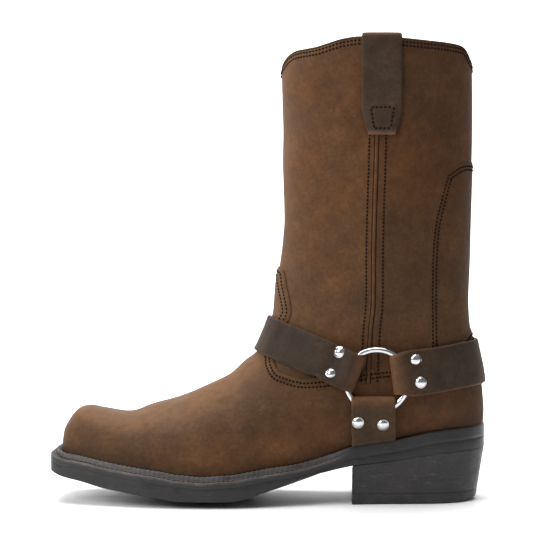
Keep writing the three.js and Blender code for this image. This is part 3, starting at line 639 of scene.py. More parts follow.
@dataclass(frozen=True)
class NodeKit:
    """Short calls for building one material's nodes."""

    tree: bpy.types.NodeTree

    def add(self, kind: str, **values: object) -> bpy.types.Node:
        """Adds a node and sets its inputs and settings by name."""
        node = self.tree.nodes.new(kind)
        for name, value in values.items():
            plain = name.replace("_", " ")
            if hasattr(node, name):
                setattr(node, name, value)
            elif plain in node.inputs:
                node.inputs[plain].default_value = value
            else:
                raise KeyError(f"{kind} has no {name}")
        return node

    def link(self, source: bpy.types.NodeSocket, target: bpy.types.NodeSocket) -> None:
        """Links two sockets."""
        self.tree.links.new(source, target)

    def noise(
        self, where: bpy.types.NodeSocket, scale: float, detail: float, rough: float = 0.5
    ) -> bpy.types.NodeSocket:
        """A noise texture's factor at a scale in object metres."""
        node = self.add("ShaderNodeTexNoise", Scale=scale, Detail=detail, Roughness=rough)
        self.link(where, node.inputs["Vector"])
        return node.outputs["Fac"]

    def ramp(
        self, factor: bpy.types.NodeSocket, stops: list[tuple[float, tuple[float, ...]]]
    ) -> bpy.types.NodeSocket:
        """A colour ramp over a factor."""
        node = self.add("ShaderNodeValToRGB")
        elements = node.color_ramp.elements
        while len(elements) < len(stops):
            elements.new(0.5)
        for element, (position, colour) in zip(elements, stops):
            element.position = position
            element.color = (*colour[:3], 1.0)
        self.link(factor, node.inputs["Fac"])
        return node.outputs["Color"]

    def mix(
        self, factor: bpy.types.NodeSocket | float, a: object, b: object, mode: str = "MIX"
    ) -> bpy.types.NodeSocket:
        """Mixes two colours, each a socket or an RGB triple.

        Args:
            factor: share of the second colour.
            a: the first colour.
            b: the second colour.
            mode: how they are blended.

        Returns:
            The mixed colour.
        """
        node = self.add("ShaderNodeMix", data_type="RGBA", blend_type=mode)
        for value, socket in ((factor, node.inputs[0]), (a, node.inputs[6]), (b, node.inputs[7])):
            if isinstance(value, bpy.types.NodeSocket):
                self.link(value, socket)
            elif isinstance(value, tuple):
                socket.default_value = (*value[:3], 1.0)
            else:
                socket.default_value = value
        return node.outputs[2]

    def math(self, kind: str, a: object, b: object = 0.0) -> bpy.types.NodeSocket:
        """A math node over sockets or numbers."""
        node = self.add("ShaderNodeMath", operation=kind)
        for value, socket in ((a, node.inputs[0]), (b, node.inputs[1])):
            if isinstance(value, bpy.types.NodeSocket):
                self.link(value, socket)
            else:
                socket.default_value = value
        return node.outputs[0]

    def span(
        self, value: bpy.types.NodeSocket, low: float, high: float, out_low: float, out_high: float
    ) -> bpy.types.NodeSocket:
        """Maps a value from one span to another, clamped.

        Args:
            value: the value.
            low: start of its span.
            high: end of its span.
            out_low: what low becomes.
            out_high: what high becomes.

        Returns:
            The mapped value.
        """
        node = self.add("ShaderNodeMapRange")
        self.link(value, node.inputs["Value"])
        names = ("From Min", "From Max", "To Min", "To Max")
        for name, number in zip(names, (low, high, out_low, out_high)):
            node.inputs[name].default_value = number
        return node.outputs["Result"]

    def bump(
        self,
        height: bpy.types.NodeSocket,
        strength: float,
        distance: float,
        below: bpy.types.NodeSocket | None = None,
    ) -> bpy.types.NodeSocket:
        """A bump over a height, stacked on another where given.

        Args:
            height: the height.
            strength: share of its effect.
            distance: metres that a height of 1 stands for.
            below: normal of the bump that it lies on.

        Returns:
            The bumped normal.
        """
        node = self.add("ShaderNodeBump", Strength=strength, Distance=distance)
        self.link(height, node.inputs["Height"])
        if below is not None:
            self.link(below, node.inputs["Normal"])
        return node.outputs["Normal"]


def new_material(name: str) -> tuple[bpy.types.Material, NodeKit, bpy.types.Node, bpy.types.NodeSocket]:
    """A material with its node kit, its shader and its object coordinates."""
    material = bpy.data.materials.new(name)
    material.use_nodes = True
    kit = NodeKit(material.node_tree)
    shader = material.node_tree.nodes["Principled BSDF"]
    where = kit.add("ShaderNodeTexCoord").outputs["Object"]
    return material, kit, shader, where


@dataclass(frozen=True)
class OiledLeather:
    """Waxed pull-up leather: cloudy browns, fine grain, light scuffs and nap."""

    name: str
    light: tuple[float, float, float]
    middle: tuple[float, float, float]
    dark: tuple[float, float, float]
    scuff: tuple[float, float, float]
    roughness: float = 0.62
    grain: float = 0.35
    cloud: float = 14.0
    # Colour of rubbed leather, also used as painted highlight on the top of the foot.
    worn_and_lit: tuple[float, float, float] = (0.185, 0.095, 0.044)

    def material(self) -> bpy.types.Material:
        """Makes the node material."""
        material, kit, shader, where = new_material(self.name)
        big = kit.noise(where, self.cloud, 4.0, 0.58)
        soft = kit.noise(where, self.cloud * 2.9, 5.0, 0.62)
        cloud = kit.math("ADD", kit.math("MULTIPLY", big, 0.62), kit.math("MULTIPLY", soft, 0.38))
        colour = kit.ramp(cloud, [(0.28, self.dark), (0.5, self.middle), (0.72, self.light)])
        hue = kit.noise(where, 10.0, 3.0, 0.6)
        hues = kit.ramp(hue, [(0.38, (0.82, 0.93, 1.02)), (0.62, (1.13, 1.0, 0.84))])
        colour = kit.mix(0.8, colour, hues, "MULTIPLY")
        mottle = kit.noise(where, 140.0, 4.0, 0.65)
        spots = kit.ramp(mottle, [(0.36, (0.84, 0.83, 0.82)), (0.64, (1.13, 1.13, 1.13))])
        colour = kit.mix(0.75, colour, spots, "MULTIPLY")
        smoke = kit.noise(where, 29.0, 6.0, 0.7)
        colour = kit.mix(kit.span(smoke, 0.52, 0.74, 0.0, 0.42), colour, self.dark)
        fleck = kit.noise(where, 420.0, 3.0, 0.7)
        flecks = kit.ramp(fleck, [(0.35, (0.8, 0.79, 0.78)), (0.68, (1.14, 1.14, 1.14))])
        colour = kit.mix(0.8, colour, flecks, "MULTIPLY")
        rub = kit.noise(where, 60.0, 8.0, 0.72)
        mask = kit.span(rub, 0.6, 0.78, 0.0, 0.5)
        colour = kit.mix(mask, colour, self.scuff)
        # Lightened where the mesh's mark is set: rubbed folds, edges and collar, and a painted highlight on
        # the top of the foot.
        wear = kit.add("ShaderNodeAttribute", attribute_name="wear").outputs["Fac"]
        colour = kit.mix(kit.math("MULTIPLY", wear, kit.span(mottle, 0.3, 0.6, 0.6, 1.15)), colour, self.worn_and_lit)
        shade = kit.add("ShaderNodeAttribute", attribute_name="shade").outputs["Fac"]
        colour = kit.mix(shade, colour, (0.01, 0.0045, 0.003))
        kit.link(colour, shader.inputs["Base Color"])
        rough = kit.span(soft, 0.3, 0.7, self.roughness - 0.07, self.roughness + 0.1)
        kit.link(rough, shader.inputs["Roughness"])
        pores = kit.add("ShaderNodeTexVoronoi", Scale=900.0, feature="DISTANCE_TO_EDGE")
        kit.link(where, pores.inputs["Vector"])
        fine = kit.noise(where, 1500.0, 2.0, 0.6)
        low = kit.bump(kit.noise(where, 150.0, 5.0, 0.6), 0.16, 0.0012)
        pore = kit.span(pores.outputs["Distance"], 0.0, 0.25, 0.0, 1.0)
        mid = kit.bump(pore, self.grain * 0.5, 0.0003, low)
        kit.link(kit.bump(fine, self.grain, 0.00022, mid), shader.inputs["Normal"])
        shader.inputs["Specular IOR Level"].default_value = 0.11
        shader.inputs["Sheen Weight"].default_value = 0.015
        shader.inputs["Sheen Roughness"].default_value = 0.5
        shader.inputs["Sheen Tint"].default_value = (0.75, 0.62, 0.48, 1.0)
        return material


@dataclass(frozen=True)
class CutEdge:
    """Raw edge of cut leather: lighter, fibrous and matt; made dark, it also serves for painted shadow
    strips.
    """

    name: str
    colour: tuple[float, float, float]

    def material(self) -> bpy.types.Material:
        """Makes the node material."""
        material, kit, shader, where = new_material(self.name)
        fibre = kit.noise(where, 900.0, 4.0, 0.7)
        dark = tuple(0.55 * c for c in self.colour)
        kit.link(kit.ramp(fibre, [(0.35, dark), (0.65, self.colour)]), shader.inputs["Base Color"])
        kit.link(kit.bump(fibre, 0.5, 0.0003), shader.inputs["Normal"])
        shader.inputs["Roughness"].default_value = 0.8
        shader.inputs["Specular IOR Level"].default_value = 0.1
        return material


@dataclass(frozen=True)
class BlackRubber:
    """Satin black rubber with fine moulding lines and a trace of dust."""

    name: str
    colour: tuple[float, float, float] = (0.0115, 0.0105, 0.0105)
    dust: tuple[float, float, float] = (0.025, 0.023, 0.0225)
    lines: float = 0.35
    scuffs: float = 0.2
    # Pale colour of scuffs, also used for painted highlight on the welt.
    chalk_and_highlight: tuple[float, float, float] = (0.12, 0.112, 0.108)

    def material(self) -> bpy.types.Material:
        """Makes the node material."""
        material, kit, shader, where = new_material(self.name)
        cloud = kit.noise(where, 70.0, 6.0, 0.65)
        speck = kit.noise(where, 700.0, 3.0, 0.6)
        base = kit.ramp(cloud, [(0.35, self.colour), (0.75, self.dust)])
        scrape = kit.add("ShaderNodeMapping")
        scrape.inputs["Scale"].default_value = (1.0, 1.0, 2.6)
        kit.link(where, scrape.inputs["Vector"])
        rubbed = kit.noise(scrape.outputs["Vector"], 85.0, 9.0, 0.78)
        base = kit.mix(kit.span(rubbed, 0.56, 0.72, 0.0, self.scuffs), base, self.chalk_and_highlight)
        # Painted highlight: the welt's marked outer edge and bead top turn pale.
        wear = kit.add("ShaderNodeAttribute", attribute_name="wear").outputs["Fac"]
        base = kit.mix(kit.math("MULTIPLY", wear, kit.span(cloud, 0.35, 0.65, 0.35, 1.0)), base, self.chalk_and_highlight)
        spots = kit.ramp(speck, [(0.3, (0.75, 0.75, 0.75)), (0.7, (1.25, 1.25, 1.25))])
        kit.link(kit.mix(0.7, base, spots, "MULTIPLY"), shader.inputs["Base Color"])
        kit.link(kit.span(cloud, 0.3, 0.7, 0.38, 0.6), shader.inputs["Roughness"])
        stretch = kit.add("ShaderNodeMapping")
        stretch.inputs["Scale"].default_value = (0.06, 0.06, 1.0)
        kit.link(where, stretch.inputs["Vector"])
        streak = kit.noise(stretch.outputs["Vector"], 900.0, 3.0, 0.6)
        low = kit.bump(streak, self.lines, 0.0005)
        kit.link(kit.bump(speck, 0.25, 0.0003, low), shader.inputs["Normal"])
        shader.inputs["Specular IOR Level"].default_value = 0.36
        return material


@dataclass(frozen=True)
class PolishedChrome:
    """Bright plated steel with faint handling marks."""

    name: str

    def material(self) -> bpy.types.Material:
        """Makes the node material."""
        material, kit, shader, where = new_material(self.name)
        marks = kit.noise(where, 500.0, 4.0, 0.6)
        kit.link(kit.span(marks, 0.3, 0.8, 0.1, 0.24), shader.inputs["Roughness"])
        steel = kit.ramp(marks, [(0.3, (0.58, 0.58, 0.59)), (0.7, (0.74, 0.74, 0.75))])
        kit.link(steel, shader.inputs["Base Color"])
        shader.inputs["Metallic"].default_value = 1.0
        return material


@dataclass(frozen=True)
class Thread:
    """Waxed thread, matt and slightly twisted."""

    name: str
    colour: tuple[float, float, float]

    def material(self) -> bpy.types.Material:
        """Makes the node material."""
        material, kit, shader, where = new_material(self.name)
        twist = kit.noise(where, 2500.0, 2.0, 0.5)
        dark = tuple(0.6 * c for c in self.colour)
        kit.link(kit.ramp(twist, [(0.35, dark), (0.65, self.colour)]), shader.inputs["Base Color"])
        kit.link(kit.bump(twist, 0.4, 0.0002), shader.inputs["Normal"])
        shader.inputs["Roughness"].default_value = 0.75
        shader.inputs["Specular IOR Level"].default_value = 0.08
        return material


@dataclass
class Finishes:
    """Every finish of the boot, made once."""

    def __post_init__(self) -> None:
        """Makes the materials."""
        self.upper = OiledLeather(
            "upper_leather",
            (0.132, 0.064, 0.027),
            (0.088, 0.041, 0.0175),
            (0.05, 0.0245, 0.0115),
            (0.17, 0.09, 0.044),
        ).material()
        self.strap = OiledLeather(
            "strap_leather",
            (0.066, 0.042, 0.026),
            (0.047, 0.0295, 0.0185),
            (0.029, 0.018, 0.0115),
            (0.1, 0.064, 0.04),
            roughness=0.55,
            cloud=22.0,
            worn_and_lit=(0.15, 0.068, 0.031),
        ).material()
        self.pull = OiledLeather(
            "pull_leather",
            (0.062, 0.04, 0.027),
            (0.044, 0.028, 0.019),
            (0.027, 0.017, 0.012),
            (0.09, 0.06, 0.04),
            roughness=0.56,
            cloud=22.0,
            worn_and_lit=(0.13, 0.066, 0.036),
        ).material()
        self.lining = OiledLeather(
            "lining_leather",
            (0.42, 0.3, 0.19),
            (0.36, 0.25, 0.155),
            (0.27, 0.18, 0.11),
            (0.45, 0.34, 0.23),
            roughness=0.7,
            grain=0.2,
        ).material()
        # Panel edges: dark inked leather edge, darker still as painted shadow along the panel edges.
        self.edge = CutEdge("cut_edge", (0.07, 0.039, 0.021)).material()
        # Painted shadow: near-black strips laid beside the seam piping.
        self.seam = CutEdge("seam_shadow", (0.016, 0.009, 0.006)).material()
        self.strap_edge = CutEdge("strap_cut_edge", (0.12, 0.078, 0.048)).material()
        self.rubber = BlackRubber("sole_rubber").material()
        self.heel = BlackRubber(
            "heel_rubber", (0.0165, 0.0152, 0.0152), (0.036, 0.0335, 0.0325), lines=0.6, scuffs=0.55
        ).material()
        self.chrome = PolishedChrome("chrome").material()
        self.thread = Thread("dark_thread", (0.0125, 0.006, 0.004)).material()
        self.welt_thread = Thread("welt_thread", (0.15, 0.085, 0.068)).material()


@dataclass(frozen=True)
class Crease:
    """A soft trough or ridge on the upper, along a side-view curve in model millimetres.

    depth is positive for a trough and width is the distance at which it has faded.
    """

    line: tuple[tuple[float, float], ...]
    depth: float
    width: float

    def push(self, points: np.ndarray) -> np.ndarray:
        """How far the crease moves each point along its normal."""
        near, run = nearest(points, spline(self.line, 4.0))
        taper = smooth(run, 0.0, 0.28) * (1.0 - smooth(run, 0.72, 1.0))
        return -self.depth * np.exp(-((near / (0.5 * self.width)) ** 2)) * taper


@dataclass
class Upper:
    """The leather upper: hollow wall with panels, creases and edges."""

    last: Last
    finishes: Finishes
    knot_step: float = 1.6
    turns: int = 264
    inner_rows: int = 6
    backstay_step: float = 0.9
    piping_radius: float = 1.15
    creases: tuple[Crease, ...] = (
        Crease(((-62, 66), (-54, 50), (-47, 33)), 0.8, 13),
        Crease(((-34, 78), (-30, 58), (-26, 38)), 0.7, 14),
        Crease(((4, 92), (16, 74), (30, 60)), 0.9, 16),
        Crease(((16, 150), (44, 139), (70, 137)), 0.6, 12),
        Crease(((96, 142), (116, 140), (138, 143)), 0.7, 8),
        Crease(((12, 206), (30, 196), (56, 193)), 0.7, 26),
        Crease(((88, 178), (108, 170), (134, 172)), 0.6, 26),
        Crease(((18, 262), (38, 252), (60, 254)), -0.6, 34),
        Crease(((92, 232), (112, 240), (130, 236)), -0.5, 34),
    )

    def vamp_line(self, step: float = 1.0) -> np.ndarray:
        """The vamp's and counter's upper edge in the side view."""
        at = np.array(VAMP_EDGE)
        z = self.last.feather_z(at[:, 0]) + self.last.instep_height * at[:, 1]
        return spline(np.stack([self.last.x_at(at[:, 0]), z], axis=1), step)

    def height_line(self, table: tuple[tuple[float, float], ...], step: float = 1.0) -> np.ndarray:
        """A line given by shares of length and height over the seat, in the side view."""
        at = np.array(table)
        return spline(np.stack([self.last.x_at(at[:, 0]), self.last.seat_up(at[:, 1])], axis=1), step)

    def _inside(self, points: np.ndarray, outline: np.ndarray) -> np.ndarray:
        """Which side-view points lie in a closed outline."""
        x, z = points[..., 0], points[..., 2]
        inside = np.zeros(x.shape, bool)
        a, b = outline, np.roll(outline, -1, axis=0)
        for (ax, az), (bx, bz) in zip(a, b):
            cross = (az > z) != (bz > z)
            if not cross.any():
                continue
            edge = ax + (z - az) * (bx - ax) / (bz - az if abs(bz - az) > 1e-9 else 1e-9)
            inside ^= cross & (x < edge)
        return inside

    def relief(self, points: np.ndarray) -> np.ndarray:
        """How far panels and creases stand off the bare skin at each point."""
        vamp = self.vamp_line(3.0)
        stay = self.height_line(BACKSTAY_EDGE, 3.0)
        front, back = self.last.toe_x - 30.0, float(self.last.x_at(1.1))
        outline = np.vstack([[front, vamp[0, 1]], vamp, [back, vamp[-1, 1] + 8], [back, -40], [front, -40]])
        in_vamp = self._inside(points, outline)
        edge, _ = nearest(points, vamp)
        signed = np.where(in_vamp, edge, -edge)
        step = self.last.vamp_step * smooth(signed, -0.9, 0.9)
        stay_outline = np.vstack([[back, stay[0, 1]], stay, [back, stay[-1, 1]]])
        in_stay = self._inside(points, stay_outline)
        edge, _ = nearest(points, stay)
        step = np.maximum(step, self.backstay_step * smooth(np.where(in_stay, edge, -edge), -0.9, 0.9))
        for crease in self.creases:
            step = step + crease.push(points)
        return step

    def build(self) -> None:
        """Makes the wall with its panel edges and creases, its rim and its inside."""
        last = self.last
        knots = last.rows["knot"]
        count = int(knots[-1] / self.knot_step)
        early = np.linspace(0.0, 16.0, 22, endpoint=False)
        at = np.concatenate([early, np.linspace(16.0, knots[-1], count)])
        turn = 2 * np.pi * (np.arange(self.turns) + 0.5) / self.turns
        grid_at, grid_turn = np.meshgrid(at, turn, indexing="ij")
        bare = last.skin(grid_at, grid_turn)
        self.normals = last.normal(grid_at, grid_turn)
        self.face = bare + self.normals * self.relief(bare)[..., None]
        floor = last.outsole_top(last.along_at(self.face[..., 0])) + last.gap + 0.4
        outer = self.face.copy()
        outer[..., 2] = np.maximum(outer[..., 2], floor)
        tip = outer[0].mean(axis=0)
        closing = ((0.02, 0.9), (0.4, 0.85), (0.72, 0.7), (0.9, 0.4))
        toe = [tip + (outer[0] - tip) * share - np.array([push, 0, 0]) for share, push in closing]
        outer = np.concatenate([np.array(toe), outer])
        rim = outer[-1]
        rounding = ((0.5, 0.45), (1.3, 0.6), (2.0, 0.4))
        lip = [rim + np.array([0, 0, h]) - self.normals[-1] * w for w, h in rounding]
        inner_at = at[:: self.inner_rows][::-1]
        inner_grid, inner_turn = np.meshgrid(inner_at, turn, indexing="ij")
        inner = last.skin(inner_grid, inner_turn) - last.normal(inner_grid, inner_turn) * last.wall
        floor = last.outsole_top(last.along_at(inner[..., 0])) + last.gap + 0.4
        inner[..., 2] = np.maximum(inner[..., 2], floor)
        rings = np.concatenate([outer, np.array(lip), inner])
        rows, columns = rings.shape[:2]
        faces = grid_faces(rows, columns, True)
        faces.append(tuple(range(columns)))
        low = rings[..., 2] <= last.outsole_top(last.along_at(rings[..., 0])) + last.gap + 0.4001
        low = low.reshape(-1)
        faces = [f for f in faces if not all(low[i] for i in f)]
        piece = mesh_object("boot_upper", rings.reshape(-1, 3), faces, last.shift)
        piece.data.materials.append(self.finishes.upper)
        piece.data.materials.append(self.finishes.lining)
        split = (len(outer) + 2) * columns
        for polygon in piece.data.polygons:
            polygon.material_index = 1 if min(polygon.vertices) >= split else 0
        wear, shade = self._tones(rings)
        mark(piece, "wear", wear)
        mark(piece, "shade", shade)
        self._strip_loose(piece)
        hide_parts("upper")
        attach(piece, "root")
        self.piece = piece
        self.tree = BVHTree.FromPolygons(
            outer.reshape(-1, 3).tolist(), grid_faces(len(outer), columns, True), all_triangles=False
        )
        log.info("upper: %d faces", len(piece.data.polygons))

    def _tones(self, rings: np.ndarray) -> tuple[np.ndarray, np.ndarray]:
        """Where the leather is rubbed light, where a painted highlight lightens it, and where painted shade
        darkens it.

        Args:
            rings: the wall's points, ring by ring.

        Returns:
            How much lighter each point is, from rubbing and painted highlight, and how much painted shade
            darkens it.
        """
        last = self.last
        x, z = rings[..., 0], rings[..., 2]
        turned = np.roll(rings, -1, axis=1) - rings
        lean = np.abs(turned[..., 2]) / (np.linalg.norm(turned, axis=-1) + 1e-6)
        height = z - last.feather_z(last.along_at(x))
        # Painted highlight: the foot's upward-facing leather is made lighter, as if lit from above.
        foot = 1.0 - smooth(x, -12.0, 30.0)
        top = foot * (1.0 - smooth(lean, 0.45, 0.9)) * smooth(height, 12.0, 30.0)
        rim = self.face[-1]
        depth = rim[None, :, 2] - z
        front = 1.0 - smooth(x, 20.0, 75.0)
        collar = np.exp(-np.clip(depth, 0.0, 60.0) / 4.5) * (0.25 + 0.5 * front)
        wear = np.clip(0.42 * top + collar, 0.0, 0.85)
        # Painted shade: darker along the welt (low) and round the harness and counter (counter); behind
        # darkens the back panel, partly its darker hide and partly painted shade.
        low = 0.34 * (1.0 - smooth(height, 1.0, 13.0))
        behind = 0.2 * smooth(x, 71.0, 75.0) * smooth(z, 92.0, 98.0)
        counter = 0.24 * smooth(x, 10.0, 45.0) * (1.0 - smooth(z, 96.0, 106.0))
        return wear, np.clip(low + behind + counter, 0.0, 0.6)

    def _strip_loose(self, piece: bpy.types.Object) -> None:
        """Removes vertices that no face uses."""
        work = bmesh.new()
        work.from_mesh(piece.data)
        loose = [v for v in work.verts if not v.link_faces]
        bmesh.ops.delete(work, geom=loose, context="VERTS")
        bmesh.ops.recalc_face_normals(work, faces=work.faces)
        work.to_mesh(piece.data)
        work.free()

    def touch(self, x: float, z: float, side: Side) -> tuple[np.ndarray, np.ndarray] | None:
        """Where a side-view point lies on the dressed face, and the normal there."""
        far = 200.0 * side.value
        hit, normal, _, _ = self.tree.ray_cast(Vector((x, far, z)), Vector((0, -side.value, 0)))
        if hit is None:
            return None
        n = np.array(normal)
        if n[1] * side.value < 0:
            n = -n
        return np.array(hit), n


@dataclass
class Stitching:
    """Rows of stitches sunk a little into the leather, joined into one piece."""

    last: Last
    name: str
    material: bpy.types.Material
    length: float = 1.85
    pitch: float = 2.6
    radius: float = 0.64
    points: list[np.ndarray] = field(default_factory=list)
    faces: list[tuple[int, ...]] = field(default_factory=list)

    def stitch(self, at: np.ndarray, ahead: np.ndarray, normal: np.ndarray) -> None:
        """Adds one stitch: a short bent bar with round ends."""
        ahead = ahead / np.linalg.norm(ahead)
        side = np.cross(normal, ahead)
        side /= np.linalg.norm(side)
        base = sum(len(p) for p in self.points)
        rings = []
        for u, r, h in STITCH_RINGS:
            centre = at + ahead * (u * self.length) + normal * (h * self.radius)
            for k in range(6):
                a = math.pi * k / 3
                rings.append(centre + self.radius * r * (math.cos(a) * side + math.sin(a) * normal))
        self.points.append(np.array(rings))
        self.faces += [tuple(base + i for i in f) for f in tube_faces(len(STITCH_RINGS), 6)]

    def row(self, places: Places) -> None:
        """Adds stitches along a run of surface points and normals, given about a millimetre apart."""
        if len(places) < 3:
            return
        spots = np.array([p for p, _ in places])
        normals = np.array([n for _, n in places])
        run = run_of(spots)
        for s in np.arange(0.5 * self.pitch, run[-1] - 0.4 * self.pitch, self.pitch):
            behind, at, ahead = (read_at(s + step, run, spots) for step in (-0.8, 0.0, 0.8))
            normal = read_at(s, run, normals)
            if np.linalg.norm(ahead - behind) < 0.2:
                continue
            self.stitch(at, ahead - behind, normal / np.linalg.norm(normal))

    def finish(self, slot: str) -> bpy.types.Object:
        """Makes the joined piece."""
        piece = mesh_object(self.name, np.vstack(self.points), self.faces, self.last.shift)
        piece.data.materials.append(self.material)
        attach(outward(piece), "root")
        log.info("%s: %d stitches", self.name, len(self.points))
        return piece


@dataclass
class Trim:
    """Piping, cut edges, collar binding and stitch rows on the upper."""

    upper: Upper
    finishes: Finishes

    def _run(self, line: np.ndarray, side: Side) -> Places:
        """A side-view line on the dressed face, left out where it leaves the boot."""
        out = []
        for x, z in line:
            found = self.upper.touch(float(x), float(z), side)
            if found is not None:
                out.append(found)
        return out

    def _offset(self, line: np.ndarray, away: float) -> np.ndarray:
        """A side-view line moved to its left by a distance."""
        ahead = np.gradient(line, axis=0)
        ahead /= np.linalg.norm(ahead, axis=1, keepdims=True) + 1e-9
        return line + away * np.stack([-ahead[:, 1], ahead[:, 0]], axis=1)

    def cord(
        self, name: str, places: Places, width: float, height: float, material: bpy.types.Material
    ) -> bpy.types.Object:
        """A low rounded strip along a run of surface points.

        Args:
            name: the piece's name.
            places: points and normals along the strip.
            width: its width.
            height: how far it stands off the leather.
            material: its finish.

        Returns:
            The strip.
        """
        spots = soften(np.array([p for p, _ in places]), 3)
        normals = soften(np.array([n for _, n in places]), 3)
        ahead = np.gradient(spots, axis=0)
        ahead /= np.linalg.norm(ahead, axis=1, keepdims=True)
        side = np.cross(normals, ahead)
        side /= np.linalg.norm(side, axis=1, keepdims=True)
        lines = [spots + side * (u * width) + normals * (h * height) for u, h in STRIP_SECTION]
        grid = np.stack(lines, axis=1)
        piece = mesh_object(name, grid.reshape(-1, 3), tube_faces(*grid.shape[:2]), self.upper.last.shift)
        piece.data.materials.append(material)
        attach(outward(piece), "root")
        return piece

    def build(self) -> None:
        """Makes the trim of both sides and the collar."""
        upper = self.upper
        vamp = upper.vamp_line(1.0)
        stay = upper.height_line(BACKSTAY_EDGE, 1.0)
        seam = upper.height_line(SEAM, 1.0)
        stitches = Stitching(upper.last, "upper_stitches", self.finishes.thread)
        for side in Side:
            word = side.name.lower()
            # Vamp and backstay edges in the dark edge colour, partly painted shadow.
            self.cord(f"{word}_vamp_edge", self._run(vamp, side), 0.95, 0.2, self.finishes.edge)
            self.cord(f"{word}_backstay_edge", self._run(stay, side), 0.85, 0.16, self.finishes.edge)
            self.cord(f"{word}_seam_piping", self._run(seam, side), 2.4, 1.05, self.finishes.upper)
            # Painted shadow strips along both sides of the piping.
            for word_at, away in (("front", 1.45), ("back", -1.45)):
                line = self._run(self._offset(seam, away), side)
                self.cord(f"{word}_seam_{word_at}", line, 0.7, 0.1, self.finishes.seam)
            for away in (-5.0, 6.3):
                stitches.row(self._run(self._offset(seam, away), side))
            for away in (-3.2, -6.0):
                stitches.row(self._run(self._offset(vamp, away), side))
            for away in (2.6, 5.2):
                stitches.row(self._run(self._offset(stay, away), side))
        rim = upper.face[-1]
        ahead = np.roll(rim, -2, axis=0) - np.roll(rim, 2, axis=0)
        slope = ahead[:, 2] / (np.hypot(ahead[:, 0], ahead[:, 1]) + 1e-6)
        stretch = np.minimum(np.sqrt(1.0 + slope**2), 2.5)
        for depth in (2.3, 4.9):
            ring = []
            for j in range(len(rim)):
                column = upper.face[-40:, j]
                level = rim[j, 2] - depth * stretch[j]
                ring.append((read_at(level, column[:, 2], column), upper.normals[-3, j]))
            ring.append(ring[0])
            stitches.row(ring)
        ring = [(upper.face[-1, j] - np.array([0, 0, 0.5]), upper.normals[-1, j]) for j in range(len(rim))]
        ring += ring[:3]
        self.cord("collar_binding", ring, 1.2, 0.22, self.finishes.edge)
        stitches.finish("upper")


